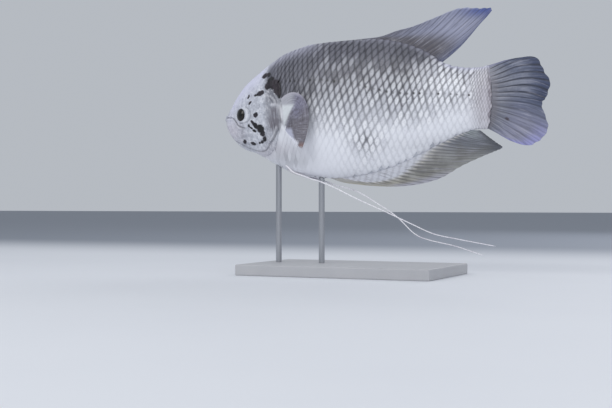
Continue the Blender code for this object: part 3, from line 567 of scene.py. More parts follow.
def scalePaint():
    colours = coatColours
    form = scaleForm
    paint = Paint("fish scales", 0.36, 0.18)
    where = paint.place()
    x, y = paint.plan("scalePlan")
    u = x * (form["rear"] - form["root"]) + form["root"]
    v = y * (2 * form["half"]) - form["half"]

    def edge(across):
        return rearEdge(across, lambda w: w.most(0.0), lambda w, p: w ** p)

    wobble = (paint.noise(where, 300.0) - 0.5) * 0.22
    own = edge(v) - u
    ahead = u + 1 - edge(v)
    above = u + form["shift"] - edge(v - 1)
    below = u + (1 - form["shift"]) - edge(v + 1)
    openness = own.least(ahead).least(above).least(below) + wobble
    single = paint.attribute("single")
    # what is seen of a scale is a leaning lozenge with soft round corners
    aslant = (u - v * 0.2) * (2.27 - single * 0.15)
    inside = 1 - oval(aslant, v, 1.0, 1.30) + wobble
    lozenge = openness.rise(-0.01, 0.22) * 0.25 + inside.rise(-0.08, 0.58) * 0.75
    line = paint.attribute("line").least(1.0)
    cloud = paint.noise(where, 46.0)
    tone = (paint.attribute("tone") * (0.86 + single * 0.34 + (cloud - 0.14) * 0.52)).least(1.0)
    dull = (0.5 - single * 0.5) * line.rise(0.05, 0.5)
    # painted highlight in the middle of each scale
    scaleHighlight = inside.rise(0.14, 0.62) * (0.48 + single * 0.36) * line.rise(0.02, 0.30)
    fleck = paint.noise(where, 420.0, 3.0, 0.65)
    # each scale's pigment darkens towards its root, deepened by painted shade under the scale ahead, and a
    # painted highlight brightens its middle
    pale = paint.over(
        colours["lozenge"], (colours["backLozenge"], tone),
        (colours["line"], (u + 0.45).fall(0.0, 0.55) * line * 0.30), ((150, 150, 162), dull * 0.36),
        ((252, 252, 255), scaleHighlight * (0.95 - tone * tone * 0.89)),
        ((138, 140, 152), fleck.rise(0.50, 0.72) * line.rise(0.0, 0.4) * 0.42))
    patch = paint.noise(where, 24.0)
    grain = paint.noise(where, 150.0, 2.0)
    # the dark lines round what is seen of each scale: pigment, with painted shade under the overlapping edges
    dark = (line * (0.56 + single * 0.12 + patch * 0.36 + grain * 0.66)).least(0.985)
    dark = dark * (1 - tone * tone * 0.26)
    speck = paint.noise(where, 620.0)
    colour = paint.over(
        pale, (colours["line"], dark * dark * 0.40 + dark * 0.60), (pale, lozenge.least(1.0)),
        (colours["line"], (speck - 0.5).most(0.0) * line * 1.1))
    spot = oval(u + 0.24, v, 1.0, 0.8)
    pore = spot.fall(0.08, 0.24) * paint.attribute("pore") * (0.72 + single * 0.50).most(0.15)
    colour = paint.mix(withMarksAndHighlight(paint, colour, where), colours["blotch"], pore.least(0.95))
    rings = (own * 46.0).sine() * 0.5 + (v * 60.0).sine() * 0.25
    height = (rings + speck) * (0.25 + line * 0.75)
    return paint.finish(colour=colour, normal=paint.bump(height, 0.22, 0.00018),
                        roughness=0.30 + speck * 0.18 + (1 - lozenge) * 0.10)


def eyePaint():
    paint = Paint("eye", 0.20, 0.22)
    paint.shader.inputs["Coat Roughness"].default_value = 0.10
    paint.shader.inputs["Specular IOR Level"].default_value = 0.30
    x, y = paint.plan("eyePlan")
    r = oval(x - 0.5, y - 0.5) * 2
    streak = paint.noise(paint.point(x * 14.0, y * 3.0), 3.0, 4.0)
    iris = paint.mix((24, 20, 20), (84, 66, 46), (streak - 0.42).most(0.0) * 3.2)
    ring = r.rise(0.50, 0.56) * r.fall(0.60, 0.74)
    fleck = paint.noise(paint.place(), 900.0, 2.0, 0.5)
    return paint.finish(colour=paint.over((6, 6, 8), (iris, ring * 0.50), ((26, 22, 24), r.rise(0.74, 0.86)),
                                          ((90, 70, 50), (fleck - 0.62).most(0.0) * ring * 3.0)))


def clearSelection():
    bpy.ops.object.select_all(action="DESELECT")


def setAttribute(piece, name, values):
    layer = piece.data.attributes.new(name, "FLOAT", "POINT")
    layer.data.foreach_set("value", np.asarray(values, np.float32))


def vertexPlaces(piece):
    flat = np.zeros(len(piece.data.vertices) * 3)
    piece.data.vertices.foreach_get("co", flat)
    return flat.reshape(-1, 3)


def setPlaces(piece, points):
    piece.data.vertices.foreach_set("co", np.asarray(points, np.float32).ravel())
    piece.data.update()


# the marks of the coat, with its painted shade and highlight, as attributes of the points
def giveMarksAndPaintedLight(piece, straight):
    for name, values in coatMarksAndPaintedLight(straight).items():
        setAttribute(piece, name, values)


def dress(piece, material):
    piece.data.materials.clear()
    piece.data.materials.append(material)


def addBall(name, segments, rings):
    clearSelection()
    bpy.ops.mesh.primitive_uv_sphere_add(segments=segments, ring_count=rings, radius=1.0)
    ball = bpy.context.object
    ball.name = name
    return ball


# for each point of a ball its share of the way from pole to pole, and its angle round the axis
def ballPlan(places):
    return np.arccos(np.clip(places[:, 2], -1, 1)) / math.pi, np.arctan2(places[:, 1], places[:, 0])


def faceOutwards():
    bpy.ops.object.mode_set(mode="EDIT")
    bpy.ops.mesh.select_all(action="SELECT")
    bpy.ops.mesh.normals_make_consistent(inside=False)
    bpy.ops.object.mode_set(mode="OBJECT")


def setPlan(piece, layer, u, v):
    corner = np.zeros(len(piece.data.loops), np.int32)
    piece.data.loops.foreach_get("vertex_index", corner)
    layer.data.foreach_set("uv", np.stack([u, v], 1)[corner].astype(np.float32).ravel())


def meshPiece(name, points, faces, material):
    mesh = bpy.data.meshes.new(name)
    mesh.from_pydata([tuple(p) for p in points], [], [tuple(f) for f in faces])
    mesh.validate()
    mesh.update()
    piece = bpy.data.objects.new(name, mesh)
    bpy.context.scene.collection.objects.link(piece)
    mesh.materials.append(material)
    clearSelection()
    piece.select_set(True)
    bpy.context.view_layer.objects.active = piece
    bpy.ops.object.shade_smooth_by_angle(angle=math.radians(35))
    return piece


# Skin: a ball drawn out to the fish, with the folds of the head in it.
skinSizes = {
    "round": 320, "rings": 306,
    "headRings": 0.60,        # share of the rings that lie in the head
    "coat": 0.00085,          # the skin lies this deep under the scales
    "eyeAlong": 0.0365, "eyeHeight": 0.2416, "eyeRadius": 0.0098, "eyeDepth": 0.0054, "eyeSunk": 0.0027,
    "eyeTall": 1.10,
    "rimRadius": 0.0098, "rimThick": 0.0013, "rimSunk": 0.0004,
    "coverRise": 0.0010,      # rear part of the gill cover over the cheek
    "coverStep": 0.0014,      # and the step down behind it
    "snoutOut": 0.0004,
}
# folds of the head: heights and depths, and places and widths as (distance from a line or point, width)
foldSizes = {
    "lip": 0.0015, "upperLip": (0.0021, 0.0015), "lowerLip": (-0.0027, 0.0021), "lipEnds": (0.030, 0.0440),
    "groove": 0.0020, "grooveWidth": 0.0008, "grooveEnds": (0.0420, 0.0436),
    "orbit": 0.0007, "orbitRim": (0.0104, 0.0014), "orbitSwell": (0.0135, 0.0032),
    "socket": 0.0046, "socketEnds": (0.0080, 0.0092),
    "cheekSwell": 0.0005, "cheekAhead": 0.0022, "cheekWidth": 0.0026,
    "paleFold": 0.0006, "paleEnd": 0.112,
    "nostrils": ((0.0105, 0.2500, 0.0008), (0.0190, 0.2560, 0.0004)),      # along, height, height of the rim
    "nostrilRim": (0.0018, 0.0008), "nostrilDepth": 0.0016, "nostrilWidth": 0.0010,
}


def stationOf(share):
    sizes = bodySizes
    head = np.clip(share / skinSizes["headRings"], 0.0, 1.0) ** 1.45
    rear = np.clip((share - skinSizes["headRings"]) / (1 - skinSizes["headRings"]), 0.0, 1.0)
    front = sizes["snoutFront"] + (sizes["headEnd"] - sizes["snoutFront"]) * head
    behind = sizes["headEnd"] + 0.0004 + (sizes["stalkEnd"] - sizes["headEnd"]) * rear
    return np.where(rear > 0, behind, front)


def leanOf(station, turn):
    sizes = bodySizes
    headShare = (station - sizes["snoutFront"]) / (sizes["headEnd"] - sizes["snoutFront"])
    torsoShare = np.maximum(0.0, 1.0 - (station - sizes["headEnd"]) / sizes["gillLeanFades"]) ** 1.5
    share = np.where(station <= sizes["headEnd"], headShare, torsoShare)
    curveFrom = sizes["stalkCurveFrom"]
    stalk = np.maximum(0.0, (station - curveFrom) / (sizes["stalkEnd"] - curveFrom))
    return station - share * gillEdge(turn) - stalk * sizes["stalkCurve"] * np.cos(turn) ** 2


def coatDepth(along, station, turn):
    behind = smooth(station, bodySizes["headEnd"] - 0.0005, bodySizes["headEnd"] + 0.0020)
    nape = smooth(along, 0.080, 0.087) * smooth(np.degrees(np.abs(turn)), 68.0, 62.0)
    return np.maximum(behind, nape)


def bellAt(distance, place):
    return bell(distance - place[0], place[1])


def headFolds(points, station, turn):
    sizes = foldSizes
    q = points.copy()
    q[:, 1] = np.abs(q[:, 1])
    ahead = q[:, 0]
    mouth = faceCurves["mouth"]
    apart = distanceTo(q, mouth) * np.sign(q[:, 2] - np.interp(ahead, mouth[:, 0], mouth[:, 2]))
    fades = 1 - smooth(ahead, *sizes["lipEnds"])
    lift = sizes["lip"] * (0.35 + 0.65 * fades) * fades * bellAt(apart, sizes["upperLip"])
    lift += sizes["lip"] * 1.05 * fades * bellAt(apart, sizes["lowerLip"])
    deep = sizes["groove"] * (0.25 + 0.75 * fades) * (1 - smooth(ahead, *sizes["grooveEnds"]))
    lift -= deep * bell(apart, sizes["grooveWidth"])
    eyeAlong, eyeHeight = skinSizes["eyeAlong"], skinSizes["eyeHeight"]
    fromEye = np.linalg.norm(q - np.array([eyeAlong, sideAt(eyeAlong, eyeHeight), eyeHeight]), axis=1)
    lift += sizes["orbit"] * bellAt(fromEye, sizes["orbitRim"])
    lift -= sizes["socket"] * (1 - smooth(fromEye, *sizes["socketEnds"]))
    lift += sizes["orbit"] * bellAt(fromEye, sizes["orbitSwell"]) * smooth(ahead, 0.036, 0.046)
    for key, (_, _, _, depth, width) in faceLines.items():
        lift -= depth * bell(distanceTo(q, faceCurves[key]), width)
    degrees = np.degrees(np.abs(turn))
    plate = smooth(degrees, 50, 66) * smooth(degrees, 158, 144) * (station <= bodySizes["headEnd"])
    lift += skinSizes["coverRise"] * plate * smooth(station, 0.088, 0.102)
    swell = faceCurves["cheek"] - np.array([sizes["cheekAhead"], 0.0, 0.0])
    lift += sizes["cheekSwell"] * bell(distanceTo(q, swell), sizes["cheekWidth"])
    for curve, width, strength in paleCurves:
        lift += sizes["paleFold"] * strength * bell(distanceTo(q, curve), width) * (ahead < sizes["paleEnd"])
    for along, z, rim in sizes["nostrils"]:
        reach = np.linalg.norm(q - np.array([along, sideAt(along, z), z]), axis=1)
        lift += rim * bellAt(reach, sizes["nostrilRim"])
        lift -= sizes["nostrilDepth"] * bell(reach, sizes["nostrilWidth"])
    return lift


# turns round the body for the angles round the ball, closer together at the back and the belly
def turnOf(angle):
    part = np.abs(angle) / math.pi
    turn = np.sign(angle) * (0.35 * math.pi * part + 0.65 * np.arccos(np.clip(1 - 2 * part, -1, 1)))
    turn = np.where(np.abs(angle) < 1e-6, 0.0, turn)
    return np.where(part > 1 - 1e-6, math.pi, turn)


def makeSkin():
    sizes = skinSizes
    headEnd = bodySizes["headEnd"]
    skin = addBall("skin", sizes["round"], sizes["rings"])
    share, angle = ballPlan(vertexPlaces(skin))
    turn = turnOf(angle)
    station = stationOf(share)
    along = leanOf(station, turn)
    points = plainSkin(along, turn)
    near = station < headEnd + 0.02
    lift = -sizes["coat"] * coatDepth(along, station, turn)
    lift[near] += headFolds(points[near], station[near], turn[near])
    degrees = np.degrees(np.abs(turn))
    step = (station > headEnd) * (1 - smooth(station, headEnd + 0.001, 0.1150))
    lift -= sizes["coverStep"] * step * smooth(degrees, 40, 60) * smooth(degrees, 165, 150)
    points = points + skinNormal(along, turn) * lift[:, None]
    points[share < 1e-6] = (bodySizes["snoutFront"] - sizes["snoutOut"], 0.0, bodySizes["snoutHeight"])
    setPlaces(skin, placed(points))
    # the turned ball may lie inside out
    faceOutwards()
    giveMarksAndPaintedLight(skin, points)
    bpy.ops.object.shade_smooth()
    dress(skin, skinPaint())
    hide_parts("head", "torso", "tail_stalk", "gill_cover_left", "gill_cover_right")
    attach(skin, "root")
    print("skin:", len(skin.data.polygons), "faces")


# the frame of an eye, whose Z looks out of the head
def eyeFrame(side, sunk):
    sizes = skinSizes
    along = sizes["eyeAlong"]
    turn = turnAtHeight(along, sizes["eyeHeight"])
    normal = skinNormal(along, turn)
    point = plainSkin(along, turn) - normal * sunk
    point[1] *= side
    normal[1] *= side
    turned = Vector(normal).to_track_quat("Z", "Y").to_matrix().to_4x4()
    return Matrix.Translation(Vector(placed(point))) @ turned


def makeEye(name, side, material, rimMaterial):
    sizes = skinSizes
    eye = addBall(name, 64, 40)
    ball = vertexPlaces(eye)
    plan = eye.data.uv_layers.active
    plan.name = "eyePlan"
    setPlan(eye, plan, ball[:, 0] * 0.5 + 0.5, ball[:, 1] * 0.5 + 0.5)
    # the clear front of the eye stands out a little over the pupil
    reach = np.linalg.norm(ball[:, :2], axis=1)
    ball[:, 2] += np.where(ball[:, 2] > 0, 0.10 * bell(reach, 0.45), 0.0)
    setPlaces(eye, ball)
    radius = sizes["eyeRadius"]
    shape = Matrix.Diagonal((radius, radius * sizes["eyeTall"], sizes["eyeDepth"], 1.0))
    eye.data.transform(eyeFrame(side, sizes["eyeSunk"]) @ shape)
    bpy.ops.object.shade_smooth()
    dress(eye, material)
    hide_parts(name.replace("eyeBall", "eye_").lower())
    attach(eye, "root")
    clearSelection()
    bpy.ops.mesh.primitive_torus_add(major_segments=96, minor_segments=20, major_radius=sizes["rimRadius"],
                                     minor_radius=sizes["rimThick"])
    rim = bpy.context.object
    rim.name = name.replace("eyeBall", "eyeRim")
    places = vertexPlaces(rim)
    # in three soft waves, flatter and thicker by turns
    places[:, 2] *= 0.85 + 0.10 * np.sin(np.arctan2(places[:, 1], places[:, 0]) * 3)
    places[:, 1] *= sizes["eyeTall"]
    setPlaces(rim, places)
    rim.data.transform(eyeFrame(side, sizes["rimSunk"]))
    giveMarksAndPaintedLight(rim, vertexPlaces(rim) + np.array([bodySizes["middle"], 0.0, 0.0]))
    bpy.ops.object.shade_smooth()
    dress(rim, rimMaterial)
    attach(rim, "root")


girthSizes = {"from": 0.060, "to": 0.4335, "stations": 240, "turns": 500, "low": -0.215, "high": 0.125,
              "arcs": 700, "lineFrom": 0.1150}


# Arc lengths round the body, from the lateral line up (positive) and down (negative).
class Girth:
    def __init__(self):
        sizes = girthSizes
        lineAt = curveThrough(lateralLine)
        self.stations = np.linspace(sizes["from"], sizes["to"], sizes["stations"])
        self.arcs = np.linspace(sizes["low"], sizes["high"], sizes["arcs"])
        self.turns = np.zeros((len(self.stations), len(self.arcs)))
        self.top = np.zeros(len(self.stations))
        self.bottom = np.zeros(len(self.stations))
        turns = np.linspace(0.0, math.pi, sizes["turns"])
        for i, station in enumerate(self.stations):
            run = runOf(plainSkin(np.full_like(turns, station), turns))
            lineTurn = turnAtHeight(station, lineAt(max(station, sizes["lineFrom"])))
            arcs = np.interp(lineTurn, turns, run) - run
            self.turns[i] = np.interp(self.arcs, arcs[::-1], turns[::-1])
            self.top[i] = arcs[0]
            self.bottom[i] = arcs[-1]

    # the turn at an arc length, between the four nearest known ones
    def turnAt(self, along, arc):
        known = self.turns
        i = (along - self.stations[0]) / (self.stations[1] - self.stations[0])
        j = (arc - self.arcs[0]) / (self.arcs[1] - self.arcs[0])
        i, j = np.clip(i, 0, len(self.stations) - 1.001), np.clip(j, 0, len(self.arcs) - 1.001)
        i0, j0 = i.astype(int), j.astype(int)
        fi, fj = i - i0, j - j0
        return ((known[i0, j0] * (1 - fi) + known[i0 + 1, j0] * fi) * (1 - fj)
                + (known[i0, j0 + 1] * (1 - fi) + known[i0 + 1, j0 + 1] * fi) * fj)

    def turnAtPoint(self, along, arc):
        return float(self.turnAt(np.array([along]), np.array([arc]))[0])

    def topAt(self, along):
        return np.interp(along, self.stations, self.top)

    def bottomAt(self, along):
        return np.interp(along, self.stations, self.bottom)


def oneScale():
    form = scaleForm
    clearSelection()
    bpy.ops.mesh.primitive_grid_add(x_subdivisions=form["along"], y_subdivisions=form["across"], size=1.0)
    scale = bpy.context.object
    places = vertexPlaces(scale)
    a, b = places[:, 0] + 0.5, places[:, 1] * 2
    wide = form["half"] * (0.55 * b + 0.45 * np.sin(b * math.pi / 2))
    rear = rearEdge(wide, lambda w: np.maximum(w, 0.0), np.power)
    root = form["root"] + (rear - 0.30 - form["root"]) * (wide / form["half"]) ** 2
    setPlaces(scale, np.stack([root + (rear - root) * a ** 0.85, wide, 0 * wide], 1))
    solid = scale.modifiers.new("thickness", "SOLIDIFY")
    solid.thickness = 0.5
    solid.offset = 1.0
    bpy.ops.object.modifier_apply(modifier=solid.name)
    faceOutwards()
    places = vertexPlaces(scale)
    # 1 for the outer face and 0 for the inner one
    places[:, 2] = places[:, 2] > 0.25
    faces = [list(p.vertices) for p in scale.data.polygons]
    bpy.data.objects.remove(scale)
    return places, faces


scaleSteps = [(0.060, 0.0058), (0.100, 0.0064), (0.125, 0.0072), (0.165, 0.0093), (0.220, 0.0099),
              (0.300, 0.0097), (0.380, 0.0094), (0.430, 0.0092)]
rowSteps = [(0.060, 0.0108), (0.250, 0.0110), (0.320, 0.0100), (0.380, 0.0088), (0.430, 0.0082)]


placeSizes = {
    "rows": (-17, 10),                         # counted from the lateral line
    "from": 0.070, "to": 0.4300, "lengths": 1200,
    "last": 0.4035,                            # no large scale further back
    "loose": 0.10, "looseRow": 0.06,           # random shift along its row and across it, in steps
    "margin": 0.10,                            # no scale stands nearer to back or belly, in row steps
    "coverGap": 0.0015, "reach": 0.62,         # gap behind the gill cover, and a scale's front part in steps
    "napeTurn": 62, "napeFrom": 0.088,         # scales of the nape start ahead of the gill cover
    "throat": 0.0055, "throatTurns": (128, 146),       # and those of the throat a little ahead
}
# small scales over the root of the tail fin, in a row of no number, as none of them has a pore
rootSizes = {"rows": (-12, 12), "columns": (-4, 12), "step": 0.0042, "high": 0.0052, "start": 0.4010,
             "first": 0.3995, "endGap": 0.0024, "margin": 0.2, "loose": 0.0003, "row": 99}


def behindHead(along, step, turn):
    sizes = placeSizes
    degrees = math.degrees(turn)
    edge = bodySizes["headEnd"] - float(gillEdge(np.array(turn)))
    throat = sizes["throat"] * smooth(degrees, *sizes["throatTurns"])
    nape = degrees < sizes["napeTurn"] and along > sizes["napeFrom"]
    return nape or along - sizes["reach"] * step > edge + sizes["coverGap"] - throat


# places of all scales of one side as (along, arc, step, row step, row)
def scalePlaces(girth, draw):
    sizes = placeSizes
    loose, looseRow = sizes["loose"], sizes["looseRow"]
    stepAt, rowAt = curveThrough(scaleSteps), curveThrough(rowSteps)
    fine = np.linspace(sizes["from"], sizes["to"], sizes["lengths"])
    counts = np.concatenate([[0.0], np.cumsum(np.diff(fine) / stepAt(fine[:-1]))])
    made = []
    for row in range(*sizes["rows"]):
        for index in range(int(counts[-1]) + 8):
            count = index - 3 - scaleForm["shift"] * row + draw.uniform(-loose, loose)
            if not 0 < count < counts[-1]:
                continue
            along = float(np.interp(count, counts, fine))
            step, high = float(stepAt(along)), float(rowAt(along))
            arc = row * high + draw.uniform(-looseRow, looseRow) * high
            low = max(girth.bottomAt(along), girth.bottomAt(along + 0.50 * step))
            margin = sizes["margin"] * high
            if along > sizes["last"] or not low + margin < arc < girth.topAt(along) - margin:
                continue
            if behindHead(along, step, girth.turnAtPoint(along, arc)):
                made.append((along, arc, step, high, row))
    return made


def rootPlaces(girth, draw):
    sizes = rootSizes
    step, high, margin = sizes["step"], sizes["high"], sizes["margin"] * sizes["high"]
    made = []
    for row in range(*sizes["rows"]):
        for column in range(*sizes["columns"]):
            along = sizes["start"] + column * step + (scaleForm["shift"] * -row % 1.0) * step
            arc = (row + 0.3) * high
            if not girth.bottomAt(along) + margin < arc < girth.topAt(along) - margin:
                continue
            turn = girth.turnAtPoint(along, arc)
            end = bodySizes["stalkEnd"] - bodySizes["stalkCurve"] * math.cos(turn) ** 2
            if sizes["first"] < along < end - sizes["endGap"]:
                shift = draw.uniform(-sizes["loose"], sizes["loose"])
                made.append((along + shift, arc, step, high, sizes["row"]))
    return made


def makeScales(girth):
    draw = random.Random(11)
    unit, faces = oneScale()
    material = scalePaint()
    count = 0
    for sideName, side in (("Left", -1), ("Right", 1)):
        spots = sorted(scalePlaces(girth, draw) + rootPlaces(girth, draw))
        for part, low, high in (("Front", 0.0, 0.245), ("Rear", 0.245, 1.0)):
            chosen = np.array([spot for spot in spots if low <= spot[0] < high])
            single = np.array([draw.uniform(-1, 1) for _ in chosen])
            scalePiece("scales" + sideName + part, side, chosen, single, unit, faces, girth, material)
            count += len(chosen)
    print("scales:", count)


pieceSizes = {
    "over": 0.30, "least": 0.2,               # rows at back and belly reach this far over, in row steps
    "fullStep": 0.0095,                       # scales with a shorter step are flatter
    "flattest": 0.06,                         # relief at the belly
    "girth": 0.150, "flatTo": (0.10, 0.62),   # it grows between these shares of this arc, from the belly up
    "rearward": (0.240, 0.360),               # and sooner further back
    "dips": (0.10, 0.34), "dip": 0.36,        # from root to rear edge a scale comes out of the skin here
    "uneven": 0.00006,                        # single scales lie this much higher or lower
    "unwrapFrom": 0.05, "unwrapLong": 0.40,
    "patch": 0.003,                           # side of one scale in the map OFBake
}


# where the points of all scales of a piece lie: along, turn and lift over the smooth body
def scaleLifts(spots, single, unit, girth):
    form, sizes = scaleForm, pieceSizes
    u, v, w = unit[None, :, 0], unit[None, :, 1], unit[None, :, 2]
    middle, arcAt, step, high = [spots[:, k, None] for k in range(4)]
    topAt, bottomAt = girth.topAt(middle), girth.bottomAt(middle)
    along = middle + u * step
    # rows next to the back and the belly reach only a little over to the other side
    upper = np.clip((topAt + sizes["over"] * high - arcAt) / high, sizes["least"], 1.0)
    lower = np.clip((arcAt + sizes["over"] * high - bottomAt) / high, sizes["least"], 1.0)
    arc = arcAt + v * high * np.where(v > 0, upper, lower)
    top, bottom = girth.topAt(along), girth.bottomAt(along)
    over, under = arc > top, arc < bottom
    folded = np.where(over, 2 * top - arc, np.where(under, 2 * bottom - arc, arc))
    turn = girth.turnAt(np.maximum(along, girth.stations[0]), folded)
    turn = np.where(over, -turn, np.where(under, 2 * math.pi - turn, turn))
    # the scales of breast and belly lie flatter, so that their edges hardly show
    depth = (arcAt - bottomAt) / sizes["girth"] + 0.10 * smooth(middle, *sizes["rearward"])
    flat = sizes["flattest"] + (1 - sizes["flattest"]) * smooth(depth, *sizes["flatTo"])
    relief = np.clip(step / sizes["fullStep"], 0.4, 1.0) * flat
    # the root of each scale dips under the skin
    share = (u - form["root"]) / (form["rear"] - form["root"])
    rise = sizes["dip"] * smooth(share, *sizes["dips"]) + (share - sizes["dip"]) * relief
    lift = -form["sunk"] + form["rise"] * rise - form["lean"] * (0.25 + 0.75 * flat) * v
    lift = lift + form["dome"] * relief * (1 - (v / form["half"]) ** 2) * np.sin(share * math.pi * 0.8)
    lift = lift + form["thick"] * relief * w + sizes["uneven"] * relief * single[:, None]
    return np.clip(along, 0.0, bodySizes["stalkEnd"]), turn, lift


def scalePiece(name, side, spots, single, unit, faces, girth, material):
    form, sizes = scaleForm, pieceSizes
    along, turn, lift = scaleLifts(spots, single, unit, girth)
    straight = plainSkin(along, turn) + skinNormal(along, turn) * lift[..., None]
    straight[..., 1] *= side
    straight = straight.reshape(-1, 3)
    n, m = len(spots), len(unit)
    turned = [face if side > 0 else face[::-1] for face in faces]
    allFaces = [[k * m + i for i in face] for k in range(n) for face in turned]
    piece = meshPiece(name, placed(straight), allFaces, material)
    giveMarksAndPaintedLight(piece, straight)
    setAttribute(piece, "single", np.repeat(single, m))
    setAttribute(piece, "pore", np.repeat((spots[:, 4] == 0).astype(float), m))
    planU = np.tile((unit[:, 0] - form["root"]) / (form["rear"] - form["root"]), n)
    planV = np.tile((unit[:, 1] + form["half"]) / (2 * form["half"]), n)
    setPlan(piece, piece.data.uv_layers.new(name="scalePlan"), planU, planV)
    rootU = np.repeat((spots[:, 0] - sizes["unwrapFrom"]) / sizes["unwrapLong"], m)
    rootV = np.repeat((spots[:, 1] - girthSizes["low"]) / (girthSizes["high"] - girthSizes["low"]), m)
    patch = sizes["patch"]
    setPlan(piece, piece.data.uv_layers.new(name="OFBake"), rootU + (planU - 0.5) * patch,
            rootV + (planV - 0.5) * patch + np.tile(unit[:, 2], n) * patch)
    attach(piece, "root")


# Fins. u runs over the rays, v from root to tip; the grid gets its second face and then its rays.
# "across" and "along" are faces per ray and from root to tip. A ray branches at a share of its length,
# has half a thickness and shows at the root by the share "rootRay".
finForms = {
    "dorsal": {"rays": 25, "across": 8, "along": 44, "branchAt": 0.45, "half": 0.00038, "rootRay": 1.0},
    "anal": {"rays": 30, "across": 7, "along": 44, "branchAt": 0.45, "half": 0.00042, "rootRay": 0.10},
    "tail": {"rays": 16, "across": 12, "along": 60, "branchAt": 0.35, "half": 0.0009, "rootRay": 1.0},
    "pectoral": {"rays": 14, "across": 9, "along": 64, "branchAt": 0.45, "half": 0.00026, "rootRay": 1.0},
    "pelvic": {"rays": 5, "across": 10, "along": 24, "branchAt": 0.6, "half": 0.0005, "rootRay": 1.0},
}
finSizes = {
    "web": 0.00022,          # half the thickness of the sheet between two rays
    "sunk": 0.0022,          # the root reaches this far into the body
    "scallop": 0.014,        # the edge lies this share further in between two rays
    "webTaper": 0.45, "rayTaper": 0.72, "edgeTaper": 0.35,
    "rayWide": 0.22, "branchWide": 0.13, "branchApart": 0.20,       # in steps between two rays
}
dorsalRoots = [0.1900, 0.2120, 0.2340, 0.2543, 0.2746, 0.2932, 0.3115, 0.3283, 0.3400, 0.3465, 0.3505, 0.3520]
dorsalTips = [(0.2050, 0.3490), (0.2290, 0.3500), (0.2570, 0.3515), (0.2830, 0.3580), (0.3080, 0.3625),
              (0.3420, 0.3728), (0.3780, 0.3830), (0.4100, 0.3802), (0.4285, 0.3768), (0.4085, 0.3570),
              (0.3885, 0.3370), (0.3640, 0.3200)]
analRoots = [0.1800, 0.2000, 0.2203, 0.2441, 0.2676, 0.2908, 0.3137, 0.3366, 0.3600, 0.3760, 0.3900, 0.4030]
analTips = [(0.2136, 0.1347), (0.2420, 0.1318), (0.2790, 0.1305), (0.3133, 0.1332), (0.3496, 0.1420),
            (0.3820, 0.1585), (0.4130, 0.1705), (0.4350, 0.1780), (0.4471, 0.1831), (0.4380, 0.1895),
            (0.4240, 0.1985), (0.4100, 0.2085)]
tailTips = [(0.4490, 0.3035), (0.4720, 0.3055), (0.4973, 0.3041), (0.5083, 0.2920), (0.5156, 0.2804),
            (0.5245, 0.2686), (0.5220, 0.2560), (0.5172, 0.2465), (0.5110, 0.2425), (0.5090, 0.2349),
            (0.5150, 0.2180), (0.5172, 0.2059), (0.5100, 0.1936), (0.5011, 0.1875), (0.4900, 0.1839),
            (0.4678, 0.1895), (0.4480, 0.1985)]
pectoralLines = [
    [(0.1155, 0.2635), (0.1185, 0.2530), (0.1205, 0.2415), (0.1215, 0.2295), (0.1215, 0.2200)],
    [(0.1370, 0.2830), (0.1420, 0.2720), (0.1390, 0.2590), (0.1320, 0.2400), (0.1235, 0.2190)],
    [(0.1850, 0.2640), (0.1690, 0.2520), (0.1540, 0.2330), (0.1380, 0.2200), (0.1250, 0.2165)],
    [(0.1531, 0.1862), (0.1460, 0.1890), (0.1375, 0.1965), (0.1290, 0.2065), (0.1230, 0.2150)],
]


def evenCurves(points):
    shares = np.linspace(0.0, 1.0, len(points))
    return [curveThrough([(share, point[k]) for share, point in zip(shares, points)]) for k in range(2)]


def bezier(a, b, c, f):
    f = f[:, None]
    return a * (1 - f) ** 2 + b * 2 * f * (1 - f) + c * f * f


def stacked(along, y, z):
    return np.stack(np.broadcast_arrays(along, y, z), -1).astype(float)


# a fin of the middle line: its roots on back or belly, how its rays bow, and how the sheet waves
def middleFin(roots, tips, edgeAt, bow, wave, waves, start):
    rootAt = curveThrough([(i / (len(roots) - 1), root) for i, root in enumerate(roots)])
    tipAlong, tipHigh = evenCurves(tips)

    def at(u, v):
        root = stacked(rootAt(u), 0.0, edgeAt(rootAt(u)))
        tip = stacked(tipAlong(u), 0.0, tipHigh(u))
        length = np.minimum(1.0, 20 * np.linalg.norm(tip - root, axis=1))[:, None]
        here = bezier(root, (root + tip) / 2 + np.array(bow) * length, tip, v)
        here[:, 1] = wave * v * np.abs(v) * np.sin(waves * u + start)
        return here
    return at


dorsalPoint = middleFin(dorsalRoots, dorsalTips, backAt, (0.004, 0.0, -0.003), 0.0022, 9.0, 1.0)
analPoint = middleFin(analRoots, analTips, bellyAt, (-0.004, 0.0, -0.0035), 0.0020, 8.0, 0.0)
tailSizes = {
    "spread": 0.985,         # how near the first and last rays come to the edges of the stalk
    "bow": 0.085, "bowTo": 1.15,
    "wave": 0.0038, "waves": 11.0, "waveStart": 0.8,       # waves of the sheet, across the rays
    "aside": 0.0025,         # its rear edge lies this far to the left
    "flesh": 0.24,           # the thick root ends at this share of a ray
    "fleshIn": 0.0004,       # and lies this deep under the end of the stalk
}


def tailTurn(u):
    return np.arccos(tailSizes["spread"] * (1 - 2 * u))


def tailPoint(u, v):
    sizes = tailSizes
    tipAlong, tipHigh = evenCurves(tailTips)
    # the upper rays are bowed upwards within the fin
    u = u - sizes["bow"] * np.sin(math.pi * v) * np.sin(math.pi * u) * np.maximum(1 - sizes["bowTo"] * u, 0.0)
    turn = tailTurn(u)
    along = bodySizes["stalkEnd"] - bodySizes["stalkCurve"] * np.cos(turn) ** 2
    root = stacked(along, 0.0, plainSkin(along, turn)[:, 2])
    here = root + (stacked(tipAlong(u), 0.0, tipHigh(u)) - root) * v[:, None]
    wave = sizes["wave"] * np.sin(sizes["waves"] * u + sizes["waveStart"])
    here[:, 1] = (wave - sizes["aside"]) * v * np.abs(v)
    return here


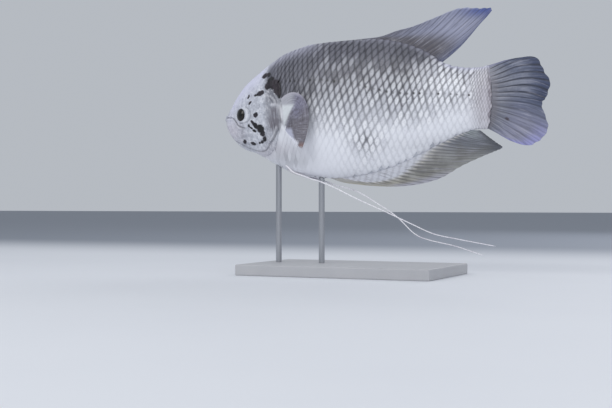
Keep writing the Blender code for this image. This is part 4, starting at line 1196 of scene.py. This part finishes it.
# the root of the tail fin is as thick as the end of the stalk
def tailRoot(u, v, half):
    flesh = plainSkin(np.full_like(u, bodySizes["stalkEnd"]), tailTurn(u))[:, 1] - tailSizes["fleshIn"]
    return np.maximum(flesh - half, 0.0) * np.maximum(0.0, 1.0 - v / tailSizes["flesh"]) ** 1.6


pectoralSizes = {
    "off": 0.0009, "out": 0.0120,       # gap to the body at the root, and what the tip adds to it
    "lowerIn": 0.35,                    # the tip of the lowest ray adds this share less
    "flesh": 0.0020, "fleshTo": 0.16,
}


def pectoralPoint(u, v, side):
    sizes = pectoralSizes
    curves = [evenCurves(line) for line in pectoralLines]
    a, b, c, d = [stacked(alongAt(u), 0.0, highAt(u)) for alongAt, highAt in curves]
    f = v[:, None]
    here = a * (1 - f) ** 3 + b * 3 * f * (1 - f) ** 2 + c * 3 * f * f * (1 - f) + d * f ** 3
    out = sizes["out"] * (1 - (1 - v) ** 2) * (1 - sizes["lowerIn"] * u)
    here[:, 1] = side * (sideAt(a[:, 0], a[:, 2]) + sizes["off"] + out)
    return here


def pectoralRoot(u, v, half):
    return pectoralSizes["flesh"] * np.maximum(0.0, 1.0 - v / pectoralSizes["fleshTo"]) ** 1.5


# first and last ray of the pelvic fin: along and out at the root, along, out and height at the tip, sag
pelvicRays = [(0.1120, 0.0112, 0.1740, 0.0118, 0.1372, 0.0030),
              (0.1165, 0.0060, 0.1540, 0.0080, 0.1420, 0.0024)]
pelvicSunk = 0.0004


def pelvicPoint(u, v, side):
    along, out, tipAlong, tipOut, tipHigh, sag = [a + (b - a) * u for a, b in zip(*pelvicRays)]
    root = stacked(along, side * out, skinBelow(along, out) - pelvicSunk)
    tip = stacked(tipAlong, side * tipOut, tipHigh)
    return bezier(root, (root + tip) / 2 - stacked(0 * u, 0.0, sag), tip, v)


def sheetNormal(pointAt, u, v, side):
    step = 0.02
    along = pointAt(u, np.minimum(v + step, 1.0)) - pointAt(u, np.maximum(v - step, 0.0))
    beside = pointAt(np.minimum(u + step, 1.0), v) - pointAt(np.maximum(u - step, 0.0), v)
    normal = np.cross(beside, along)
    normal /= np.maximum(np.linalg.norm(normal, axis=1, keepdims=True), 1e-12)
    facing = np.sign(normal @ np.array(side, float))
    return normal * np.where(facing == 0, 1, facing)[:, None]


# height of the rays over the sheet: single ones that branch in two further out
def rayProfile(u, v, rays, branchAt):
    sizes = finSizes
    phase = (u * rays) % 1.0 - 0.5
    apart = sizes["branchApart"] * smooth(v, branchAt, 1.0)
    double = np.maximum(bell(phase - apart, sizes["branchWide"]), bell(phase + apart, sizes["branchWide"]))
    share = smooth(v, branchAt, branchAt + 0.2)
    return bell(phase, sizes["rayWide"]) * (1 - share) + double * share


def plainRoot(u, v, half):
    return 0.0


# a fin of the middle line needs no facing, and another one is told which way its outer face looks
def makeFin(name, node, form, pointAt, material, facing=None, thickRoot=plainRoot):
    sizes, rays = finSizes, form["rays"]
    clearSelection()
    bpy.ops.mesh.primitive_grid_add(x_subdivisions=rays * form["across"], y_subdivisions=form["along"],
                                    size=1.0)
    fin = bpy.context.object
    fin.name = name
    fin.data.uv_layers.active.name = "finPlan"
    places = vertexPlaces(fin)
    u, v = np.clip(places[:, 0] + 0.5, 0, 1), np.clip(places[:, 1] + 0.5, 0, 1)
    edge = 0.5 - 0.5 * np.cos(2 * math.pi * u * rays)
    length = np.linalg.norm(pointAt(u, np.ones_like(u)) - pointAt(u, np.zeros_like(u)), axis=1)
    reach = v * (1 - (1 - edge) * sizes["scallop"] * v)
    reach = reach - (1 - v) ** 3 * sizes["sunk"] / np.maximum(length, 0.01)
    middle = pointAt(u, reach)
    normal = sheetNormal(pointAt, u, v, facing) if facing else stacked(0 * u, 1.0, 0.0)
    profile = rayProfile(u, v, rays, form["branchAt"])
    profile = profile * (form["rootRay"] + (1 - form["rootRay"]) * smooth(v, 0.05, 0.55))
    half = sizes["web"] * (1 - sizes["webTaper"] * v)
    half = half + (form["half"] - sizes["web"]) * profile * (1 - sizes["rayTaper"] * v)
    half *= 1 - sizes["edgeTaper"] * smooth(v, 0.9, 1.0)
    half = half + thickRoot(u, v, half)
    solid = fin.modifiers.new("second face", "SOLIDIFY")
    solid.thickness = 0.001
    solid.offset = 0.0
    bpy.ops.object.modifier_apply(modifier=solid.name)
    points = np.concatenate([middle + normal * half[:, None], middle - normal * half[:, None]])
    setPlaces(fin, placed(points))
    faceOutwards()
    bpy.ops.object.shade_smooth_by_angle(angle=math.radians(70))
    dress(fin, material)
    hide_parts(node)
    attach(fin, "root")


def fineNoise(paint):
    return paint.noise(paint.place(), 700.0)


# dark grooves between the rays and where they branch, and for each place how far it is from its ray
def finLines(paint, rays, grooveWidth=0.26, branchAt=0.5):
    x, y = paint.plan("finPlan")
    drift = paint.noise(paint.point(x * rays * 0.5, y * 1.5), 1.0, 2.0, 0.5)
    fromRay = ((x * rays).fraction() - 0.5).size()
    groove = (fromRay * 2).rise(1.0 - grooveWidth * 1.6, 1.0)
    inner = (fromRay * 2).fall(0.0, 0.22) * y.rise(branchAt, branchAt + 0.25)
    line = (groove * (0.65 + drift * 0.7)).most(inner * 0.55)
    return x, y, line, paint.noise(paint.place(), 34.0, 4.0), fromRay


def finishFin(paint, colour, line):
    x, y = paint.plan("finPlan")
    streaked = 0.42
    streak = paint.noise(paint.point(x * 70.0, y * 2.2), 1.0)
    joints = ((y * 150.0).sine() * 0.5 + 0.5) * y.rise(0.2, 0.5)
    fine = fineNoise(paint)
    colour = paint.over(
        colour, ((188, 187, 202), streak.rise(0.52, 0.72) * streaked),
        ((64, 62, 72), streak.fall(0.30, 0.48) * streaked))
    height = (1 - line) * 0.8 + joints * 0.22 + fine * 0.25
    return paint.finish(colour=colour, normal=paint.bump(height, 0.35, 0.00035),
                        roughness=0.40 + fine * 0.18)


def dorsalPaint(rays):
    paint = Paint("dorsal fin", 0.5, 0.08)
    x, y, line, cloud, _ = finLines(paint, rays)
    patch = (y.fall(0.06, 0.42) * cloud.rise(0.36, 0.58)).least(1.0)
    bright = y.fall(0.05, 0.36) * cloud.fall(0.32, 0.48)
    colour = paint.over(
        (112, 110, 118), ((152, 155, 178), y.rise(0.14, 0.55)), ((92, 92, 102), x.fall(0.20, 0.56) * 0.85),
        ((78, 74, 80), patch * 0.80), ((156, 154, 158), bright * 0.55),
        ((44, 70, 148), y.rise(0.72, 1.0) * x.rise(0.50, 0.66) * 0.95),
        ((84, 92, 124), x.rise(0.66, 0.92) * 0.80), ((74, 74, 88), line * (0.30 + cloud * 0.5)),
        ((196, 200, 222), y.rise(0.955, 1.0) * x.fall(0.55, 0.70) * 0.5))
    return finishFin(paint, colour, line)


# the rows of scales go on over the sheath of the fin: dark between them, by height and length
def sheathLattice(paint, step, high):
    aside, height = paint.sideAndHeight()
    rows = height * (1 / high)
    across = rows.fraction() - 0.5
    count = rows - across
    ahead = (aside * (1 / step) - count * scaleForm["shift"] - across * 0.2).fraction() - 0.5
    return oval(ahead, across, 4.4, 1.6).rise(0.50, 0.95)


def analPaint(rays):
    paint = Paint("anal fin", 0.5, 0.08)
    x, y, line, cloud, fromRay = finLines(paint, rays, 0.34, 0.35)
    fringe = y.rise(0.66, 0.90) * x.rise(0.14, 0.24) * x.fall(0.34, 0.46)
    shade = y.rise(0.10, 0.30) * y.fall(0.70, 0.95) * x.rise(0.06, 0.24) * x.fall(0.66, 0.84)
    grooves = line * (0.32 + cloud * 0.55) * y.rise(0.0, 0.25) * x.rise(0.02, 0.30)
    # the scaled sheath of the root ends in pale teeth along the rays
    reach = x.rise(0.04, 0.18) * 0.50 - x.rise(0.20, 0.70) * 0.46
    tooth = (y + fromRay * 0.26 + (cloud - 0.5) * 0.16 - reach).rise(0.00, 0.15)
    sheath = (1 - tooth) * x.fall(0.86, 0.96)
    streak = paint.noise(paint.point(x * 90.0, y * 5.0), 1.0)
    cream = paint.over(
        (214, 216, 225), ((196, 188, 170), (y - reach + 0.10).rise(0.0, 0.16) * 0.7),
        ((150, 150, 160), sheathLattice(paint, 0.0098, 0.0094) * 0.34))
    colour = paint.over(
        (176, 174, 170), ((147, 148, 146), y.rise(0.05, 0.55)), ((100, 105, 116), x.rise(0.50, 0.74) * 0.9),
        ((34, 42, 54), x.rise(0.56, 0.76) * y.rise(0.60, 1.0) * 0.85),
        ((196, 190, 170), x.fall(0.24, 0.50) * y.rise(0.20, 0.8) * 0.62), ((178, 178, 200), fringe * 0.62),
        ((104, 102, 98), shade * cloud.rise(0.30, 0.62) * 0.62),
        ((150, 157, 160), x.rise(0.80, 0.92) * y.fall(0.40, 0.75) * 0.75), ((80, 80, 84), grooves),
        (cream, sheath * (0.72 + streak * 0.24)))
    return finishFin(paint, colour, line)


def tailPaint(rays):
    paint = Paint("tail fin", 0.5, 0.08)
    x, y, line, cloud, _ = finLines(paint, rays, 0.30, 0.55)
    pale = (1 - line) * x.fall(0.40, 0.62) * cloud.rise(0.35, 0.60) * y.fall(0.55, 0.85)
    dark = line * (1 - x.rise(0.42, 0.66) * 0.56) * y.rise(0.02, 0.12)
    colour = paint.over(
        (118, 121, 134), ((90, 98, 122), y.rise(0.15, 0.6)),
        ((140, 141, 162), x.rise(0.50, 0.78) * y.rise(0.05, 0.55)),
        ((150, 150, 208), x.rise(0.60, 0.82) * y.rise(0.66, 0.96) * 0.80),
        ((58, 68, 98), y.rise(0.66, 0.94) * x.fall(0.44, 0.60) * 0.8),
        ((116, 114, 122), y.fall(0.04, 0.16) * 0.85), ((162, 164, 176), pale * 0.50),
        ((40, 42, 54), dark * (0.45 + cloud * 0.75).least(0.92)),
        ((156, 154, 188), x.fall(0.0, 0.06) * 0.6),
        ((60, 46, 54), oval(x - 0.745, y - 0.28, 60.0, 8.0).fall(0.06, 0.16) * 0.85))
    return finishFin(paint, colour, line)


# the fleshy base is white, the web grey with a lilac top, the hind edge pale and the tip brown
def pectoralPaint(rays):
    paint = Paint("pectoral fin", 0.5, 0.08)
    x, y, line, cloud, _ = finLines(paint, rays, 0.42, 0.40)
    aside, height = paint.sideAndHeight()
    # streaks that fan out from the base
    ahead, up = aside + 0.1415, height - 0.2180
    fanned = paint.noise(paint.point(up.turn(ahead) * 9.0, oval(ahead, up) * 90.0), 1.0, 3.0, 0.65)
    web = y.rise(0.20, 0.36)
    bars = ((height + fineNoise(paint) * 0.0006) * 1750.0).sine().rise(0.1, 0.9) * cloud.rise(0.30, 0.55)
    bars = bars * y.rise(0.78, 0.86) * x.fall(0.36, 0.50)
    wave = (cloud - 0.5) * 0.006
    # the lower hind part lets the white belly show
    clear = (aside - (0.2165 - height) * 0.36 + wave).fall(-0.1252, -0.1196) * height.fall(0.2135, 0.2200)
    share = ((height - 0.2190) * (1 / 0.0325)).most(0.0) ** 1.6
    fleshy = (aside - share * 0.0165 + wave).fall(-0.1398, -0.1345) * height.fall(0.2495, 0.2552)
    colour = paint.over(
        (178, 178, 186), ((130, 128, 148), y.rise(0.16, 0.40)),
        ((114, 110, 118), (y.rise(0.50, 0.74) + x.rise(0.50, 0.62) * 0.5).least(1.0)),
        ((88, 84, 90), oval(x - 0.76, y - 0.56, 22.0, 16.0).fall(0.3, 1.0) * 0.75),
        ((88, 84, 96), line * y.rise(0.10, 0.30) * (0.05 + cloud * 0.55)),
        ((72, 68, 76), fanned.fall(0.34, 0.50) * web * 0.55),
        ((176, 176, 190), fanned.rise(0.52, 0.70) * web * 0.42), ((172, 168, 172), bars * 0.45),
        ((194, 196, 216), clear * 0.80), ((190, 186, 196), x.fall(0.03, 0.12) * y.fall(0.30, 0.62) * 0.55),
        ((140, 108, 100), x.fall(0.16, 0.30) * y.rise(0.955, 0.985) * 0.75),
        ((236, 236, 244), y.rise(0.950, 0.985) * x.rise(0.22, 0.34) * 0.85),
        ((228, 232, 234), fleshy * 0.88))
    return finishFin(paint, colour, line)


def pelvicPaint(rays):
    paint = Paint("pelvic fin", 0.5, 0.08)
    _, y, line, _, _ = finLines(paint, rays, 0.30, 0.6)
    colour = paint.over((226, 222, 226), ((196, 194, 204), y.rise(0.2, 0.9)), ((140, 132, 140), line * 0.5))
    return finishFin(paint, colour, line)


# Long first rays of the pelvic fins, which start inside the belly
filamentSizes = {"side": 0.0146, "start": 0.0013, "tip": 0.00055, "round": 14, "rings": 190,
                 "startRound": 0.004, "tipRound": 0.01, "step": 1e-3}
filamentPaths = {
    "Left": [(0.1090, 0.1640), (0.1145, 0.1592), (0.1220, 0.1530), (0.1409, 0.1463), (0.1533, 0.1420),
             (0.1648, 0.1388), (0.1887, 0.1295), (0.2296, 0.1106), (0.2715, 0.0931), (0.3087, 0.0768),
             (0.3429, 0.0626), (0.3785, 0.0555), (0.4346, 0.0460)],
    "Right": [(0.1090, 0.1640), (0.1145, 0.1592), (0.1220, 0.1530), (0.1409, 0.1465), (0.1560, 0.1418),
              (0.1745, 0.1345), (0.2132, 0.1237), (0.2477, 0.1047), (0.2771, 0.0860), (0.3042, 0.0616),
              (0.3268, 0.0526), (0.3672, 0.0441), (0.4087, 0.0314)]}


def filamentPaint():
    paint = Paint("long fin ray", 0.42, 0.15)
    cloud = paint.noise(paint.place(), 60.0)
    _, y = paint.plan("rayPlan")
    joint = (y * 420.0).sine().rise(0.55, 1.0)
    colour = paint.over(
        (250, 248, 252), ((208, 202, 212), cloud.rise(0.45, 0.75) * 0.7), ((170, 162, 170), joint * 0.25))
    return paint.finish(colour=colour, normal=paint.bump(1 - joint, 0.25, 0.0002),
                        roughness=0.36 + cloud * 0.2)


def makeFilament(name, side, nodes, material):
    sizes = filamentSizes
    ray = addBall("longRay" + name, sizes["round"], sizes["rings"])
    ray.data.uv_layers.active.name = "rayPlan"
    share, angle = ballPlan(vertexPlaces(ray))
    alongAt, highAt = evenCurves(filamentPaths[name])
    ahead, behind = np.minimum(share + sizes["step"], 1), np.maximum(share - sizes["step"], 0)
    direction = np.stack([alongAt(ahead) - alongAt(behind), highAt(ahead) - highAt(behind)], 1)
    direction /= np.linalg.norm(direction, axis=1, keepdims=True)
    radius = sizes["start"] + (sizes["tip"] - sizes["start"]) * share
    radius *= np.sqrt(np.clip((1 - share) / sizes["tipRound"], 0.0, 1.0))
    radius *= np.sqrt(np.clip(share / sizes["startRound"], 0.0, 1.0))
    out, up = np.cos(angle) * radius, np.sin(angle) * radius
    x = alongAt(share) - direction[:, 1] * up - bodySizes["middle"]
    z = highAt(share) + direction[:, 0] * up
    setPlaces(ray, np.stack([x, side * sizes["side"] + out, z], 1))
    faceOutwards()
    bpy.ops.object.shade_smooth()
    dress(ray, material)
    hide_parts(*nodes)
    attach(ray, "root")
    print("long ray:", name)


def standPaint():
    paint = Paint("stand base", 0.5)
    grain = paint.noise(paint.place(), 900.0)
    cloud = paint.noise(paint.place(), 14.0, 4.0)
    colour = paint.over(
        (196, 196, 198), ((178, 178, 182), cloud), ((214, 214, 216), grain.rise(0.55, 0.8) * 0.4))
    return paint.finish(colour=colour, normal=paint.bump(grain, 0.2, 0.0003), roughness=0.42 + grain * 0.2)


def rodPaint():
    paint = Paint("stand rod", 0.28, metallic=1.0)
    stretched = paint.node("ShaderNodeMapping", {}, {"Vector": paint.place(), "Scale": (1.0, 1.0, 0.02)})
    brushed = paint.noise(stretched, 2600.0, 2.0)
    colour = paint.mix((196, 198, 202), (160, 162, 168), brushed)
    return paint.finish(colour=colour, normal=paint.bump(brushed, 0.10, 0.0001),
                        roughness=0.22 + brushed * 0.16)


def makeFins():
    dorsal, anal, tail = finForms["dorsal"], finForms["anal"], finForms["tail"]
    makeFin("dorsalFin", "dorsal_fin", dorsal, dorsalPoint, dorsalPaint(dorsal["rays"]))
    makeFin("analFin", "anal_fin", anal, analPoint, analPaint(anal["rays"]))
    makeFin("tailFin", "tail_fin", tail, tailPoint, tailPaint(tail["rays"]), thickRoot=tailRoot)
    pectoral, pelvic = finForms["pectoral"], finForms["pelvic"]
    paints = pectoralPaint(pectoral["rays"]), pelvicPaint(pelvic["rays"])
    for name, side in (("Left", -1), ("Right", 1)):
        makeFin("pectoralFin" + name, "pectoral_fin_" + name.lower(), pectoral,
                lambda u, v: pectoralPoint(u, v, side), paints[0], (0.0, side, 0.0), pectoralRoot)
        makeFin("pelvicFin" + name, "pelvic_fin_" + name.lower(), pelvic,
                lambda u, v: pelvicPoint(u, v, side), paints[1], (0.0, 0.0, -1.0))
    print("fins done")


def dressStand():
    finishes = {"stand_base": standPaint(), "stand_rod_front": rodPaint()}
    finishes["stand_rod_rear"] = finishes["stand_rod_front"]
    for name, material in finishes.items():
        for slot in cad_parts[name].material_slots:
            slot.material = material
    print("stand finished")


# Floor, light and camera, which aren't part of the object.
stageSizes = {
    "floor": 24.0, "shadeFrom": 0.40, "shadeTo": 1.20, "backdrop": 0.95,
    "cameraTurn": 25.0, "cameraAway": 1.668, "cameraHeight": 0.105,
    "aim": 0.1359,           # the camera looks at the fish this far from the snout
    "lens": 64.7, "sensor": 36.0,
}
# place, size, power and colour of the lights
lights = {
    "keyLight": ((-0.8, -1.9, 1.5), 1.2, 15.0, (1.0, 1.0, 1.0)),
    "topLight": ((0.2, -0.2, 2.3), 1.0, 3.6, (0.92, 0.93, 1.0)),
    "fillLight": ((1.5, -1.8, 1.1), 1.2, 7.0, (1.0, 1.0, 1.0)),
    "backLight": ((0.5, 2.1, 1.3), 1.4, 12.0, (0.94, 0.95, 1.0)),
}
lightAim = Vector((0.0, 0.0, 0.22))


def makeStage():
    clearSelection()
    bpy.ops.mesh.primitive_plane_add(size=stageSizes["floor"])
    floor = bpy.context.object
    floor.name = "floor"
    paint = Paint("floor", 0.7)
    split = paint.node("ShaderNodeSeparateXYZ", {}, {0: paint.place()}, "Y")
    # the floor darkens behind the fish, so that the pale ends of the long rays show against it
    behind = split.rise(stageSizes["shadeFrom"], stageSizes["shadeTo"])
    cloud = paint.noise(paint.place(), 3.0, 3.0, 0.5)
    dress(floor, paint.finish(colour=paint.over((232, 234, 238), ((226, 228, 233), cloud),
                                                ((146, 152, 163), behind))))
    world = bpy.data.worlds.new("studio")
    bpy.context.scene.world = world
    world.use_nodes = True
    backdrop = world.node_tree.nodes["Background"]
    backdrop.inputs["Color"].default_value = tint(186, 191, 198)
    backdrop.inputs["Strength"].default_value = stageSizes["backdrop"]


def makeLights():
    for name, (place, size, power, colour) in lights.items():
        data = bpy.data.lights.new(name, "AREA")
        data.shape = "SQUARE"
        data.size = size
        data.energy = power
        data.color = colour
        light = bpy.data.objects.new(name, data)
        bpy.context.scene.collection.objects.link(light)
        light.location = place
        light.visible_camera = False
        light.rotation_euler = (lightAim - Vector(place)).to_track_quat("-Z", "Y").to_euler()


def makeCamera():
    sizes = stageSizes
    data = bpy.data.cameras.new("camera")
    camera = bpy.data.objects.new("camera", data)
    bpy.context.scene.collection.objects.link(camera)
    turn = math.radians(sizes["cameraTurn"])
    aimed = sizes["aim"] - bodySizes["middle"]
    away = sizes["cameraAway"]
    camera.location = (aimed + math.sin(turn) * away, -math.cos(turn) * away, sizes["cameraHeight"])
    camera.rotation_euler = (math.radians(90), 0.0, turn)
    data.lens = sizes["lens"]
    data.sensor_width = sizes["sensor"]
    bpy.context.scene.camera = camera


def main():
    bpy.context.scene.view_settings.view_transform = "Standard"
    makeCamera()
    makeStage()
    makeLights()
    print("stage, lights and camera set")
    makeSkin()
    eye, rim = eyePaint(), skinPaint()
    makeEye("eyeBallLeft", -1, eye, rim)
    makeEye("eyeBallRight", 1, eye, rim)
    print("eyes set")
    makeScales(Girth())
    makeFins()
    ray = filamentPaint()
    makeFilament("Left", -1, ("pelvic_ray_left_front", "pelvic_ray_left_rear"), ray)
    makeFilament("Right", 1, ("pelvic_ray_right_front", "pelvic_ray_right_rear"), ray)
    dressStand()


main()
